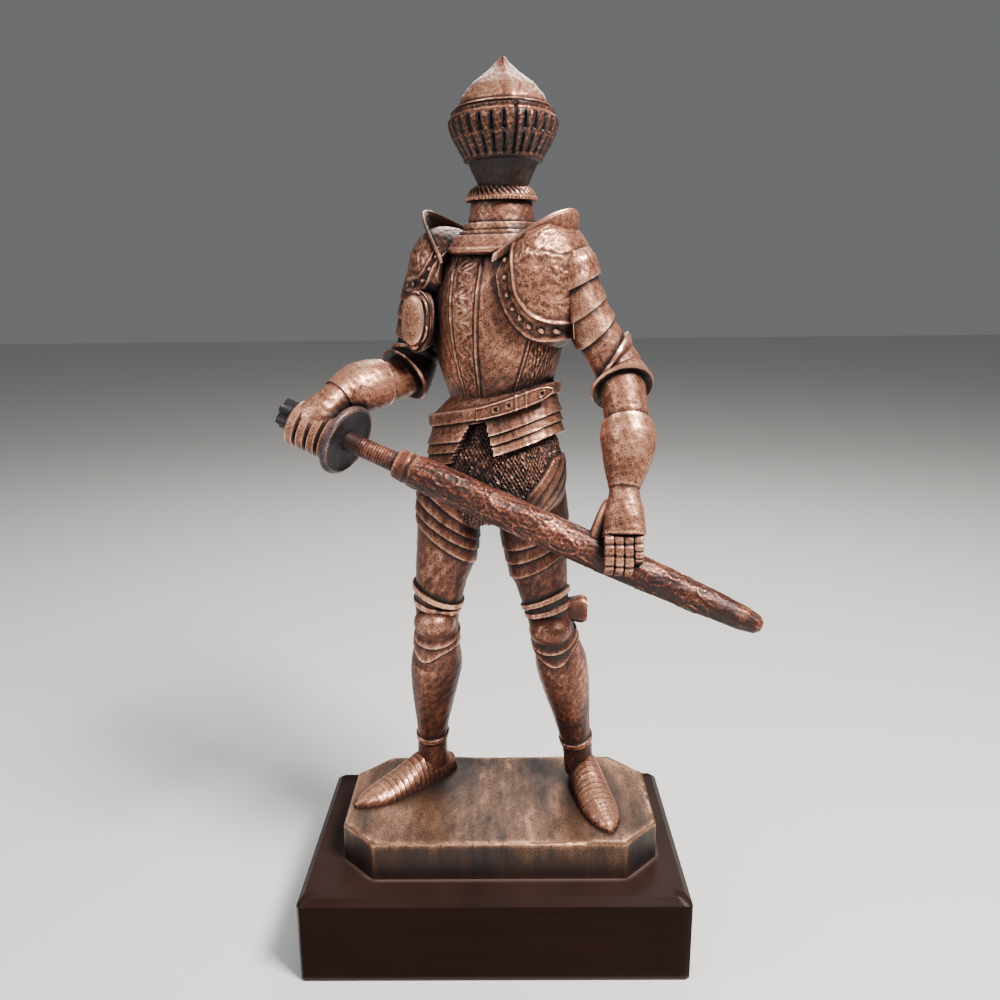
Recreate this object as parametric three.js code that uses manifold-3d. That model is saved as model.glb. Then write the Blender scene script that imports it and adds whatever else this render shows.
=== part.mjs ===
import * as THREE from 'three';
import { LoftGeometry } from 'three/addons/geometries/LoftGeometry.js';
import { mergeVertices } from 'three/addons/utils/BufferGeometryUtils.js';
import Module from 'manifold-3d';

// A knight in full plate armour, cast in one piece with an eight-sided ground, on a wooden plinth.
// Millimetres, +Z up. The origin is the middle of the plinth's underside, and the front is -Y.
const PLINTH_WIDTH = 160;
const PLINTH_DEPTH = 96;
const PLINTH_HEIGHT = 38;
const PLINTH_CHAMFER = 2.6;

const GROUND_WIDTH = 133;
const GROUND_DEPTH = 67.5;
const GROUND_HEIGHT = 16.5;
const GROUND_CORNER = 14.3;
const GROUND_DRAFT = 0.6;
const GROUND_OFFSET = 2.2;

// From the ground's top to the point of the helmet.
const FIGURE_HEIGHT = 304;

// Pose, proportions and carving are written in thousandths of the figure's height. A point of the
// figure is across (to the viewer's right), back (away from the viewer) and up from the ground's top.
const SHARE = FIGURE_HEIGHT / 1000;
const STANCE_ACROSS = -2.2;

// Corners closer than this are one corner, in millimetres.
const WELD = 0.002;

const wasm = await Module();
wasm.setup();

const { PI, sin, cos, abs, sign, min, max, floor } = Math;
const degrees = (angle) => (angle * PI) / 180;

// Evenly spaced values, both ends included.
const spread = (count, from = 0, to = 1) =>
  Array.from({ length: count + 1 }, (_, i) => from + ((to - from) * i) / count);

// Angles once round a ring, without repeating the first.
const round = (sides) => spread(sides, 0, 2 * PI).slice(0, sides);

// A point of the figure in millimetres.
const point = (across, back, up) =>
  new THREE.Vector3(STANCE_ACROSS + across * SHARE, back * SHARE, GROUND_HEIGHT + up * SHARE);

// A body segment's own frame: turned to face the viewer's left by an angle, and raised at its
// viewer's right side by a slope. It gives a function from local points to points of the figure.
function frame(across, back, turn, slope = 0, lean = 0) {
  const c = cos(turn);
  const s = sin(turn);
  return (x, y, z) => point(across + c * x + s * y + lean * z, back - s * x + c * y, z + slope * x);
}

// Reads rows of numbers at any share of their length, along a smooth line through every row.
function smooth(rows) {
  const last = rows.length - 1;
  return (t) => {
    const place = min(max(t, 0), 1) * last;
    const i = min(floor(place), last - 1);
    const f = place - i;
    const [a, b, c, d] = [i - 1, i, i + 1, i + 2].map((k) => rows[min(max(k, 0), last)]);
    return b.map((from, k) => {
      const bend = 2 * a[k] - 5 * from + 4 * c[k] - d[k] + f * (3 * (from - c[k]) + d[k] - a[k]);
      return from + 0.5 * f * (c[k] - a[k] + f * bend);
    });
  };
}

// An oval that is deeper in front than behind. Angle 0 is the front, and a power above 2 squares it.
function oval(angle, wide, front, back, power = 2) {
  const bent = (value) => sign(value) * abs(value) ** (2 / power);
  const deep = cos(angle) > 0 ? front : back;
  return [wide * bent(sin(angle)), -deep * bent(cos(angle))];
}

// Joins the shared corners of a closed surface and makes a solid of it, with its faces out.
function solid(geometry) {
  const bare = new THREE.BufferGeometry();
  bare.setAttribute('position', geometry.getAttribute('position'));
  bare.setIndex(geometry.getIndex());
  const merged = mergeVertices(bare, WELD);
  const corner = (k) => new THREE.Vector3().fromBufferAttribute(merged.getAttribute('position'), k);
  const edge = (from, to) => `${from} ${to}`;
  const taken = new Set();
  const faces = [];
  let volume = 0;
  for (let i = 0; i < merged.index.count; i += 3) {
    const [a, b, c] = [0, 1, 2].map((k) => merged.index.array[i + k]);
    if (a === b || b === c || c === a) continue;
    // A face that would run along an edge the same way as its neighbour is turned round.
    const clash = [edge(a, b), edge(b, c), edge(c, a)].some((side) => taken.has(side));
    const [p, q, r] = clash ? [a, c, b] : [a, b, c];
    for (const side of [edge(p, q), edge(q, r), edge(r, p)]) taken.add(side);
    faces.push([p, q, r]);
    volume += corner(p).dot(corner(q).cross(corner(r)));
  }
  const outward = volume > 0 ? faces : faces.map(([a, b, c]) => [a, c, b]);
  const vertProperties = new Float32Array(merged.getAttribute('position').array);
  const triVerts = new Uint32Array(outward.flat());
  return new wasm.Manifold(new wasm.Mesh({ numProp: 3, vertProperties, triVerts }));
}

// A solid skinned over sections, each a ring of points.
const loft = (sections) => solid(new LoftGeometry(sections, { capStart: true, capEnd: true }));

// A solid of a surface that is known at every step along it and every angle round it.
const skin = (surface, steps, sides) =>
  loft(steps.map((u) => round(sides).map((a) => surface(u, a))));

// A raised plate on such a surface, between two steps and two angles.
function plate(surface, [u0, u1], [a0, a1], rise, rows = 6, columns = 3) {
  const sink = -5;
  const angles = spread(columns, a0, a1);
  return loft(
    spread(rows, u0, u1).map((u) => [
      ...angles.map((a) => surface(u, a, rise)),
      ...angles.toReversed().map((a) => surface(u, a, sink)),
    ]),
  );
}

// A thin round moulding through points.
function rod(points, radius, count = 10, sides = 5) {
  const line = new THREE.CatmullRomCurve3(points);
  const { normals, binormals } = line.computeFrenetFrames(count);
  const size = radius * SHARE;
  return loft(
    spread(count).map((t, i) =>
      round(sides).map((a) => {
        const spoke = normals[i].clone().multiplyScalar(cos(a) * size);
        return line.getPointAt(t).add(spoke).addScaledVector(binormals[i], sin(a) * size);
      }),
    ),
  );
}

// A standing fin between a lower and an upper line of points.
function fin(lower, upper, thick) {
  const half = (thick * SHARE) / 2;
  return loft(
    lower.map((low, i) => {
      const along = lower[min(i + 1, lower.length - 1)].clone().sub(lower[max(i - 1, 0)]);
      const side = along.cross(upper[i].clone().sub(low)).setLength(half);
      return [
        low.clone().add(side),
        upper[i].clone().add(side),
        upper[i].clone().sub(side),
        low.clone().sub(side),
      ];
    }),
  );
}

// A small faceted dome for a rivet head, standing along a direction.
function rivet(place, out, radius) {
  const axis = out.clone().normalize();
  const across = new THREE.Vector3(0.3, 0.2, 1).cross(axis).normalize();
  const other = axis.clone().cross(across);
  const size = radius * SHARE;
  const ring = (up, wide) =>
    round(5).map((a) => {
      const spoke = across.clone().multiplyScalar(cos(a) * wide * size);
      spoke.addScaledVector(other, sin(a) * wide * size).addScaledVector(axis, up * size);
      return spoke.add(place);
    });
  return loft([ring(-1, 1), ring(0.75, 0.6)]);
}

// A limb: a smooth line through stations of across, back, up, half width and half depth. Its surface
// is read at a share of its length and an angle from its front. Lean slides the front of a ring along
// the limb, tilt slides its viewer's right side, and peak draws only its front to a point.
function limb(stations, front) {
  const at = smooth(stations);
  return (t, angle, grow = 0, lean = 0, tilt = 0, peak = 0) => {
    const [x, y, z, wide, deep] = at(t);
    const [before, after] = [at(t - 0.01), at(t + 0.01)];
    const along = new THREE.Vector3(...[0, 1, 2].map((k) => after[k] - before[k])).normalize();
    const side = front.clone().cross(along).normalize();
    const slide = lean * cos(angle) + tilt * sin(angle) + peak * max(cos(angle), 0) ** 4;
    const offset = along.clone().cross(side).multiplyScalar((deep + grow) * cos(angle));
    offset.addScaledVector(side, (wide + grow) * sin(angle)).addScaledVector(along, slide);
    return point(x + offset.x, y + offset.y, z + offset.z);
  };
}

// A limb in its armour, given as rows of place, growth, lean, tilt and peak.
const armoured = (surface, rows, sides) =>
  loft(rows.map(([t, ...shape]) => round(sides).map((a) => surface(t, a, ...shape))));

const facing = (turn, up = 0) => new THREE.Vector3(-sin(turn), -cos(turn), up).normalize();

const pieces = [];
const TORSO_TURN = degrees(36);
const chest = frame(5, 16, TORSO_TURN, 0, 0.012);
const hips = frame(5, 14, degrees(28), 0.2);
const head = frame(20, 2, degrees(-9.4));

// Helmet: up, half width, front, back.
const HELMET = smooth([
  [850, 29, 32, 31],
  [865, 36, 42, 40],
  [882, 44, 53, 49],
  [896, 52, 63, 57],
  [912, 58, 70, 63],
  [928, 59, 74, 64],
  [942, 55, 70, 61],
  [955, 49, 61, 56],
  [968, 39, 46, 45],
  [979, 25, 29, 29],
  [989, 13, 14, 14],
  [1000, 3, 3, 3],
]);
const VISOR_EDGE = degrees(104);
const VISOR_BOTTOM = 880;
const VISOR_TOP = 937;
const helmetSurface = (u, a, grow = 0) => {
  const [up, wide, front, back] = HELMET(u);
  const crest = 3.5 * abs(cos(a)) ** 40;
  const [x, y] = oval(a, wide + grow, front + crest + grow, back + crest + grow);
  return head(x, y, up);
};
const VISOR = smooth([
  [VISOR_BOTTOM, 46, 57],
  [892, 53, 68],
  [904, 60, 76],
  [915, 65, 80],
  [925, 67, 81],
  [VISOR_TOP, 63, 77],
]);
const visorSurface = (u, a, grow = 0) => {
  const [up, wide, front] = VISOR(u);
  const turned = a > PI ? a - 2 * PI : a;
  const inside = abs(turned) > VISOR_EDGE ? -12 : 0;
  const beak = 5 * max(cos(a), 0) ** 12;
  const [x, y] = oval(a, wide + grow + inside, front + beak + grow + inside, front - 12 + inside);
  return head(x, y, up);
};
pieces.push(skin(helmetSurface, spread(11), 18), skin(visorSurface, spread(5), 20));

// Two rows of upright breaths round the visor, sunk as pockets.
const BREATH_ROWS = [0.22, 0.66];
const BREATH_TALL = 0.27;
const BREATHS_EACH_SIDE = 4;
const BREATH_FIRST = 10.5;
const BREATH_PITCH = 12;
const breaths = [];
for (const middle of BREATH_ROWS) {
  for (let i = 0; i < BREATHS_EACH_SIDE; i++) {
    for (const side of [-1, 1]) {
      const angle = side * degrees(BREATH_FIRST + BREATH_PITCH * i);
      const half = degrees(1.6);
      const span = [angle - half, angle + half];
      const rows = [middle - BREATH_TALL / 2, middle + BREATH_TALL / 2];
      const deep = (u, a, grow) => visorSurface(u, a, grow > 0 ? 6 : -2.6);
      breaths.push(plate(deep, rows, span, 1, 1, 1));
    }
  }
}

// Bevor, roped rim, collar and the lames of the gorget: up, half width, front, back, squareness.
const throat = frame(18, 8, TORSO_TURN);
const COLLAR = [
  [770, 57, 58, 47],
  [774, 63, 65, 51],
  [777, 64, 66, 51],
  [794, 55, 57, 47],
  [795, 51, 52, 44],
  [809, 47, 48, 43],
  [810, 42, 43, 40],
  [835, 38, 39, 37],
  [836, 45, 46, 43],
  [840, 45, 46, 43],
  [851, 37, 38, 36],
  [856, 30, 31, 30],
];
const collarRing = ([up, wide, front, back]) =>
  round(16).map((a) => {
    const [x, y] = oval(a, wide, front, back, up < 800 ? 2.5 : 2);
    return throat(x, y, up);
  });
pieces.push(loft(COLLAR.map(collarRing)));

// Breastplate and backplate: up, half width, front, back.
const TORSO = smooth([
  [570, 64, 48, 43],
  [600, 73, 57, 47],
  [630, 83, 66, 53],
  [660, 90, 72, 57],
  [690, 93, 74, 59],
  [720, 92, 72, 59],
  [750, 86, 65, 55],
  [775, 72, 54, 47],
  [796, 50, 40, 38],
]);
// Two ornamented bands run down the breastplate, one in the middle and one at the viewer's right. An
// edge of a band, or a plain line between them, is an angle in degrees at the waist and how far round
// it has moved at the neck.
const BANDS = [{ left: [-8, -8], right: [8, 3] }, { left: [43, 30], right: [57, 46] }];
const PLAIN_LINES = [
  [-95, 0], [-72, 0], [-50, 0], [-28, -4], [25, 16], [80, 40], [105, 32], [132, 16], [160, 0],
  [185, 0], [210, 0], [238, 0],
];
// A band's raised border: degrees inwards from its edge, and how far it stands out.
const BORDER = [[-1.4, 0], [-0.4, 2.2], [1.6, 2.2], [2.6, 0.6]];
const torsoColumns = PLAIN_LINES.map(([angle, moved]) => [angle, moved, 0]);
for (const { left, right } of BANDS) {
  for (const [inwards, rise] of BORDER) {
    torsoColumns.push([left[0] + inwards, left[1], rise], [right[0] - inwards, right[1], rise]);
  }
}
torsoColumns.sort(([a], [b]) => a - b);
const torsoSurface = (u, a, grow = 0) => {
  const [up, wide, front, back] = TORSO(u);
  const [x, y] = oval(a, wide + grow, front + grow, back + grow, 2.1);
  return chest(x, y, up);
};
const torsoRing = (u) =>
  torsoColumns.map(([angle, moved, rise]) => torsoSurface(u, degrees(angle + moved * u), rise));
pieces.push(loft(spread(6).map(torsoRing)));

// A pauldron's shell over the shoulder: out from the middle, front, back, bottom, top. The left one
// covers the armpit. The right one is cut high to clear the sword arm.
const SHELL_MIDDLE = 742;
const SHELL_SQUARE = 2.25;
const LEFT_SHELL = [
  [50, 68, 54, 694, 784],
  [60, 72, 58, 674, 795],
  [74, 73, 62, 662, 806],
  [89, 69, 62, 658, 810],
  [101, 58, 56, 662, 804],
  [114, 44, 45, 674, 792],
  [123, 28, 30, 694, 776],
  [128, 10, 12, 722, 762],
];
const RIGHT_SHELL = [
  [46, 68, 54, 728, 784],
  [56, 70, 58, 720, 795],
  [72, 70, 62, 713, 806],
  [90, 66, 62, 708, 810],
  [107, 56, 56, 704, 804],
  [120, 42, 45, 704, 792],
  [130, 26, 30, 712, 776],
  [136, 10, 12, 728, 762],
];
// Mouldings on the front of a shell, from the neck down and outwards: out from the middle, height.
const LEFT_OUTER = [[46, 778], [49, 750], [56, 714], [73, 681], [92, 671], [116, 674]];
const LEFT_INNER = [[64, 782], [72, 752], [77, 724], [88, 705], [104, 692], [118, 690]];
const RIGHT_OUTER = [[47, 774], [53, 756], [59, 740], [70, 732], [90, 731], [122, 729]];
const MOULDING_RADIUS = 2.8;
const INLAY_RADIUS = 2;
// A rivet's seat, from the nearest place on the outer moulding.
const RIVET_INWARDS = [7, 8];
const RIVET_RADIUS = 3;
// Inside the left shell's band lie its inner moulding and three embossed scrolls, each a hook.
const LEFT_INLAID = [
  LEFT_INNER,
  [[93, 708], [106, 712], [110, 726], [98, 732]],
  [[116, 742], [104, 752], [92, 744], [96, 734]],
  [[88, 762], [98, 772], [110, 766], [108, 754]],
];
// The upright wing that guards the neck: out from the middle, back, lower edge, upper edge.
const WING = [
  [40, -68, 762, 772],
  [64, -50, 776, 794],
  [90, -26, 785, 815],
  [104, 2, 788, 823],
  [94, 30, 786, 815],
  [66, 45, 776, 800],
];
const PAULDRONS = [
  { side: -1, rows: RIGHT_SHELL, outer: RIGHT_OUTER, inlaid: [], reach: 14, rise: 10, rivets: 3 },
  { side: 1, rows: LEFT_SHELL, outer: LEFT_OUTER, inlaid: LEFT_INLAID, reach: 0, rise: 0, rivets: 5 },
];
for (const { side, rows, outer, inlaid, reach, rise, rivets } of PAULDRONS) {
  const shell = smooth(rows);
  const onShell = (u, a, grow = 0) => {
    const [out, front, back, bottom, top] = shell(u);
    const high = sin(a) > 0 ? top - SHELL_MIDDLE : SHELL_MIDDLE - bottom;
    const [z, y] = oval(a, high + grow, front + grow, back + grow, SHELL_SQUARE);
    return chest(side * out, y, SHELL_MIDDLE + z);
  };
  pieces.push(skin(onShell, spread(7), 16));
  // The front of the shell at an out and a height: the step is found by halving, as the rows run out.
  const onFront = ([out, up], grow = 0) => {
    let [near, far] = [0, 1];
    while (far - near > 0.001) {
      const middle = (near + far) / 2;
      if (shell(middle)[0] < out) near = middle;
      else far = middle;
    }
    const [, , , bottom, top] = shell(near);
    const off = up - SHELL_MIDDLE;
    const share = min(abs(off) / (off > 0 ? top - SHELL_MIDDLE : SHELL_MIDDLE - bottom), 1);
    return onShell(near, sign(off) * Math.asin(share ** (SHELL_SQUARE / 2)), grow);
  };
  // Mouldings follow the shell's front edge, with rivets inside the outer one.
  pieces.push(rod(outer.map((place) => onFront(place)), MOULDING_RADIUS, 7, 4));
  for (const line of inlaid) pieces.push(rod(line.map((place) => onFront(place)), INLAY_RADIUS, 5, 3));
  const seat = smooth(outer);
  for (const t of spread(rivets - 1, 0.12, 0.9)) {
    const [out, up] = seat(t);
    const place = [out + RIVET_INWARDS[0], up + RIVET_INWARDS[1]];
    const foot = onFront(place);
    pieces.push(rivet(foot, onFront(place, 4).sub(foot), RIVET_RADIUS));
  }
  const lower = WING.map(([out, back, low]) => chest(side * out, back, low));
  const upper = WING.map(([out, back, , high], i) => {
    const flare = sin((PI * i) / (WING.length - 1));
    return chest(side * (out + 3 + reach * flare), back, high + rise * flare);
  });
  pieces.push(fin(lower, upper, 5));
}

// An embossed oval plate with a rim hangs in front of the right armpit, on a stalk from the chest.
const UPWARD = new THREE.Vector3(0, 0, 1);
const BESAGEW = [
  [-70, 24, 690, 12, 24],
  [-86, 6, 690, 22, 37],
  [-91, 0, 691, 24, 39],
  [-97, -9, 692, 17, 30],
];
const besagewRows = [[0, 0], [0.33, 0], [0.53, 1], [0.61, 0], [0.67, -3], [0.96, 0], [0.96, -8], [1, -8]];
pieces.push(armoured(limb(BESAGEW, UPWARD), besagewRows, 12));

// The wearer's left arm reaches down to the blade: across, back, up, half width, half depth.
const LEFT_ARM = limb(
  [
    [100, -46, 772, 25, 28],
    [110, -48, 728, 27, 31],
    [126, -50, 688, 28, 31],
    [146, -52, 655, 29, 30],
    [160, -57, 628, 27, 28],
    [166, -68, 602, 27, 28],
    [169, -80, 572, 27, 28],
    [170, -94, 545, 25, 26],
    [166, -108, 515, 20, 21],
    [163, -119, 494, 17, 17],
    [162, -133, 468, 22, 15],
    [161, -145, 444, 24, 12],
  ],
  facing(degrees(10)),
);
// Rows of place, growth, lean and tilt: three lames, the flared elbow guard, the bell of the gauntlet.
pieces.push(
  armoured(
    LEFT_ARM,
    [
      [0, -12], [0.006, -3, 0, -3], [0.03, 3.5, 2, -4],
      [0.077, 5, 4, -5], [0.081, 1, 4, -5], [0.145, 2.5, 5, -5], [0.149, 0.5, 5, -5],
      [0.207, 2.5, 7, -5], [0.212, -1, 7, -5], [0.296, -1, 4, -16],
      [0.301, 5.5, 4, -17], [0.315, 6.5, 4, -17], [0.336, 3, 2, -14], [0.376, 5, -6, -9],
      [0.425, 12.5, -14, -4], [0.434, 11, -14, -4], [0.421, 2, -10, -4],
      [0.49, 0, -4, 0], [0.563, 0, -8, 0],
      [0.565, 5, -8, 0], [0.614, 9, -2, 0], [0.687, 8, 0, 0], [0.808, 3, 0, 0],
      [0.816, 1, 0, 0], [0.99, 2, 0, 0], [1, 0],
    ],
    10,
  ),
);

// The lames at the top end in front in a turned-out edge that stands up from the arm.
const FOLD_FOOT = [[97, -68, 745], [99, -68, 727], [101, -66, 708], [103, -64, 690], [105, -62, 670]];
const FOLD_PROUD = [8, 13, 14, 13, 9];
const FOLD_THICK = 3.4;
const foldFoot = FOLD_FOOT.map(([across, back, up]) => point(across, back, up));
const foldEdge = FOLD_FOOT.map(([across, back, up], i) => point(across, back - FOLD_PROUD[i], up));
pieces.push(fin(foldFoot, foldEdge, FOLD_THICK));

// The wearer's right arm is drawn back and holds the hilt.
const RIGHT_ARM = limb(
  [
    [-78, 78, 772, 26, 28],
    [-86, 79, 728, 28, 30],
    [-94, 78, 690, 29, 30],
    [-101, 73, 650, 28, 28],
    [-110, 61, 624, 28, 28],
    [-127, 40, 612, 27, 27],
    [-147, 18, 609, 27, 27],
    [-168, -4, 606, 27, 26],
    [-186, -20, 600, 23, 22],
    [-201, -34, 590, 21, 20],
    [-217, -48, 575, 25, 18],
    [-228, -58, 557, 26, 13],
  ],
  facing(degrees(-10), 0.8),
);
pieces.push(
  armoured(
    RIGHT_ARM,
    [
      [0.05, 3],
      [0.127, 5, 5], [0.131, 3, 5], [0.184, 5, 6], [0.188, 2, 6], [0.237, 4, 8], [0.241, 0, 8],
      [0.274, 0], [0.278, 6], [0.295, 7], [0.319, 4], [0.36, 6, 4], [0.405, 13, 8], [0.413, 11, 8],
      [0.401, 1, 8], [0.466, 0], [0.538, 0],
      [0.54, 5], [0.589, 7], [0.679, 7], [0.77, 4],
      [0.775, 2], [0.98, 1], [1, -2],
    ],
    10,
  ),
);

// The sheathed blade lies on a straight line from the guard to the tip.
const GUARD_PLACE = new THREE.Vector3(-183, -49, 545);
const BLADE_LINE = new THREE.Vector3(0.905, -0.215, -0.372).normalize();
const BLADE_SIDE = new THREE.Vector3(0, 0, 1).cross(BLADE_LINE).normalize();
const BLADE_UP = BLADE_LINE.clone().cross(BLADE_SIDE);
const onBlade = (along, across, up) => {
  const place = GUARD_PLACE.clone().addScaledVector(BLADE_LINE, along);
  place.addScaledVector(BLADE_SIDE, across).addScaledVector(BLADE_UP, up);
  return point(place.x, place.y, place.z);
};
// Along the blade, radius.
const BLADE = [
  [-70, 9], [4, 13], [14, 12.5], [70, 13], [74, 19], [88, 20.5], [92, 19.5], [97, 21.5],
  [320, 21.5], [400, 20.5], [480, 18], [536, 15], [555, 11.5], [561, 6],
];
const bladeRing = ([along, radius]) =>
  round(10).map((a) => onBlade(along, radius * sin(a), radius * cos(a)));
pieces.push(loft(BLADE.map(bladeRing)));

// The round guard is tipped a little towards the viewer.
const GUARD_RADIUS = 47;
const GUARD_TIP = 0.22;
const guardRing = ([along, radius]) =>
  round(18).map((a) => onBlade(along + GUARD_TIP * radius * sin(a), radius * sin(a), radius * cos(a)));
pieces.push(loft([[-3, 45], [-1, GUARD_RADIUS], [2, GUARD_RADIUS], [3.5, 44]].map(guardRing)));

// The pommel is fluted into six lobes.
const pommelRing = ([along, radius]) =>
  round(18).map((a) => {
    const lobed = radius * (1 + 0.22 * cos(6 * a));
    return onBlade(along, lobed * sin(a), lobed * cos(a));
  });
pieces.push(loft([[-92, 13], [-90, 17], [-76, 17], [-70, 11]].map(pommelRing)));

// The right fist closes round the grip, a ring for each finger: along, half height, half depth.
const FINGERS = 4;
const FINGER_WIDE = 15.5;
const fistRing = ([along, high, deep]) =>
  round(10).map((a) => onBlade(along, -4 + deep * sin(a), -4 + high * cos(a)));
const fistRows = spread(FINGERS - 1, 0, FINGERS - 1).flatMap((i) => {
  const start = -71 + FINGER_WIDE * i;
  return [[start, 25, 26], [start + 3, 29.5, 30.5], [start + FINGER_WIDE - 3, 29.5, 30.5]];
});
pieces.push(loft([[-75, 18, 18], ...fistRows, [-8, 22, 22]].map(fistRing)));

// The left hand's four fingers close over the blade. Each finger is the same bent strip, seen from the
// side as back and up, and its knuckles sink between it and the next.
const FINGER_SIDE = [
  [-132, 456], [-148, 450], [-157, 436], [-161, 418], [-158, 404], [-149, 396], [-138, 398], [-136, 430],
];
const FINGERS_START = 137;
const FINGER_PITCH = 11.6;
const CURL_BELOW = 440;
const LITTLE_FINGER_RAISED = 12;
const fingerRing = (across, inset, raised) =>
  FINGER_SIDE.map(([back, up]) => {
    const curled = min(max((CURL_BELOW - up) / 40, 0), 1);
    return point(across, back + inset, up + raised * curled);
  });
const fingerRows = spread(FINGERS - 1, 0, FINGERS - 1).flatMap((i) => {
  const start = FINGERS_START + FINGER_PITCH * i;
  const raised = i === FINGERS - 1 ? LITTLE_FINGER_RAISED : -1.5 * i;
  const rows = [[0.6, 3.5], [2.4, 0], [FINGER_PITCH - 2.4, 0]];
  return rows.map(([off, inset]) => fingerRing(start + off, inset, raised));
});
const lastFinger = fingerRing(FINGERS_START + FINGERS * FINGER_PITCH, 3.5, LITTLE_FINGER_RAISED);
pieces.push(loft([...fingerRows, lastFinger]));
const thumb = [point(148, -118, 482), point(138, -122, 460), point(130, -124, 440), point(124, -124, 424)];
pieces.push(rod(thumb, 9, 4, 6));

// Mail skirt: up, half width, front, back. Its rings are roughened so that it reads as mail.
const MAIL = smooth([
  [580, 60, 43, 42],
  [556, 72, 52, 49],
  [530, 84, 60, 56],
  [500, 91, 66, 62],
  [475, 94, 67, 64],
  [447, 91, 62, 62],
  [430, 80, 50, 52],
  [422, 64, 38, 40],
]);
const MAIL_SIDES = 18;
const mailSurface = (u, a, grow = 0) => {
  const [up, wide, front, back] = MAIL(u);
  const rough = grow + 1.3 * cos(a * (MAIL_SIDES / 2)) * cos(u * PI * 9);
  const [x, y] = oval(a, wide + rough, front + rough, back + rough, 2.2);
  return hips(x, y, up);
};
pieces.push(skin(mailSurface, spread(6), MAIL_SIDES));

// A folded flap covers the mail on the viewer's right hip. Its front edge slants: angle round the hips
// in degrees, and the steps of the mail at its upper and lower edge.
const FLAP = [[42, 0.6, 0.68], [55, 0.51, 0.7], [68, 0.43, 0.72], [100, 0.44, 0.72], [150, 0.46, 0.7]];
const [FLAP_PROUD, FLAP_SUNK] = [5, -6];
const flapSection = ([angle, top, bottom]) => {
  const corners = [[top, FLAP_PROUD], [bottom, FLAP_PROUD], [bottom, FLAP_SUNK], [top, FLAP_SUNK]];
  return corners.map(([u, grow]) => mailSurface(u, degrees(angle), grow));
};
pieces.push(loft(FLAP.map(flapSection)));

// Waist flare, belt and three lames of the fauld, opened in front by an upturned V.
const FAULD = [
  [600, 62, 46, 44],
  [584, 82, 58, 54],
  [582, 92, 66, 61],
  [567, 92, 66, 61],
  [566, 87, 62, 57],
  [556, 90, 64, 59],
  [543, 95, 69, 63],
  [542, 92, 66, 60],
  [530, 96, 70, 64],
  [529, 93, 67, 61],
  [516, 98, 72, 66],
];
const lift = (a) => 15 * max(sin(a), 0) ** 2;
const fauldRing = ([up, wide, front, back]) =>
  round(18).map((a) => {
    const [x, y] = oval(a, wide, front, back, 2.2);
    return hips(x, y, up + lift(a));
  });
const OPENING = [[-39, 500], [41, 500], [21, 562], [0, 562]];
const openingAt = (back) => OPENING.map(([x, z]) => hips(x, back, z));
const opening = loft([openingAt(-100), openingAt(-30)]);
pieces.push(loft(FAULD.map(fauldRing)).subtract(opening));

// The belt's loose tongue lies over it, rises to the viewer's right and stands off at its end.
const beltAt = (a, grow, up) => {
  const [x, y] = oval(a, 88 + grow, 62 + grow, 57 + grow, 2.2);
  return hips(x, y, up + lift(a));
};
const strap = (stops) =>
  loft(
    stops.map(([a, inner, outer, half]) => [
      beltAt(a, inner, 574 - half),
      beltAt(a, outer, 574 - half),
      beltAt(a, outer, 574 + half),
      beltAt(a, inner, 574 + half),
    ]),
  );
const TONGUE = [
  [0.1, -1, 6, 8.5], [0.5, 0, 8, 9.5], [0.95, 4, 12, 9.5], [1.12, 9, 16, 7.5], [1.22, 12, 18, 3.5],
];
pieces.push(strap(TONGUE));
const BELT_STUDS = [[0.3, 6.5], [0.55, 8], [0.8, 10], [1.05, 14]];
for (const [a, out] of BELT_STUDS) {
  const foot = beltAt(a, out, 574);
  pieces.push(rivet(foot, beltAt(a, out + 20, 574).sub(foot), 4));
}

// Legs: across, back, up, half width, half depth.
const RIGHT_LEG = limb(
  [
    [-42, 18, 500, 46, 50],
    [-57, 16, 442, 44, 48],
    [-63, 13, 392, 41, 44],
    [-70, 10, 350, 36, 39],
    [-76, 5, 312, 32, 34],
    [-78, 6, 275, 29, 30],
    [-80, 14, 242, 31, 33],
    [-82, 24, 208, 36, 38],
    [-86, 32, 172, 33, 36],
    [-90, 42, 132, 28, 30],
    [-93, 51, 95, 23, 25],
    [-95, 58, 60, 21, 24],
    [-96, 61, 20, 21, 26],
  ],
  facing(degrees(30)),
);
const LEFT_LEG = limb(
  [
    [48, 18, 500, 50, 50],
    [57, 13, 430, 47, 48],
    [62, 8, 386, 43, 44],
    [68, 0, 345, 37, 39],
    [75, -7, 308, 31, 33],
    [82, -8, 272, 30, 31],
    [89, 0, 245, 32, 33],
    [97, 10, 212, 36, 38],
    [104, 18, 176, 34, 36],
    [111, 27, 138, 29, 31],
    [118, 36, 95, 24, 25],
    [124, 43, 60, 22, 24],
    [127, 48, 20, 21, 26],
  ],
  facing(degrees(12)),
);

// Slanting lames cross the thigh, a rolled rim ends the cuisse, the knee has a round cop between narrow
// lames, the lowest lame comes to a point on the shin, and a ring goes round the ankle.
const THIGH_LAMES = { right: [0.075, 0.103, 0.131, 0.16], left: [0.125, 0.165, 0.205] };
const SLANT = { right: 25, left: -12 };
const LAME_DROP = { right: -8, left: 14 };
const KNEE_PLACE = { right: [-80, -14, 283], left: [79, -28, 277] };
const kneeToFoot = (slant) => [
  [0.305, 0, 2, slant], [0.31, 4, 2, slant], [0.322, 4, 2, slant], [0.327, 0.5, 2, slant],
  [0.345, 2.4, 0, slant / 2], [0.357, 2.4, 0, slant / 2], [0.359, 0, 0, slant / 2],
  [0.44, 0, 4, 0], [0.456, 3.2, 7, 0], [0.459, 1.2, 7, 0, 0],
  [0.485, 2.8, 0, 0, 21], [0.49, 0, 0, 0, 21], [0.56, 0, 0, 0, 4], [0.7],
  [0.868, 0], [0.872, 2.2], [0.888, 2.2], [0.892, 0], [1],
];
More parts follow.
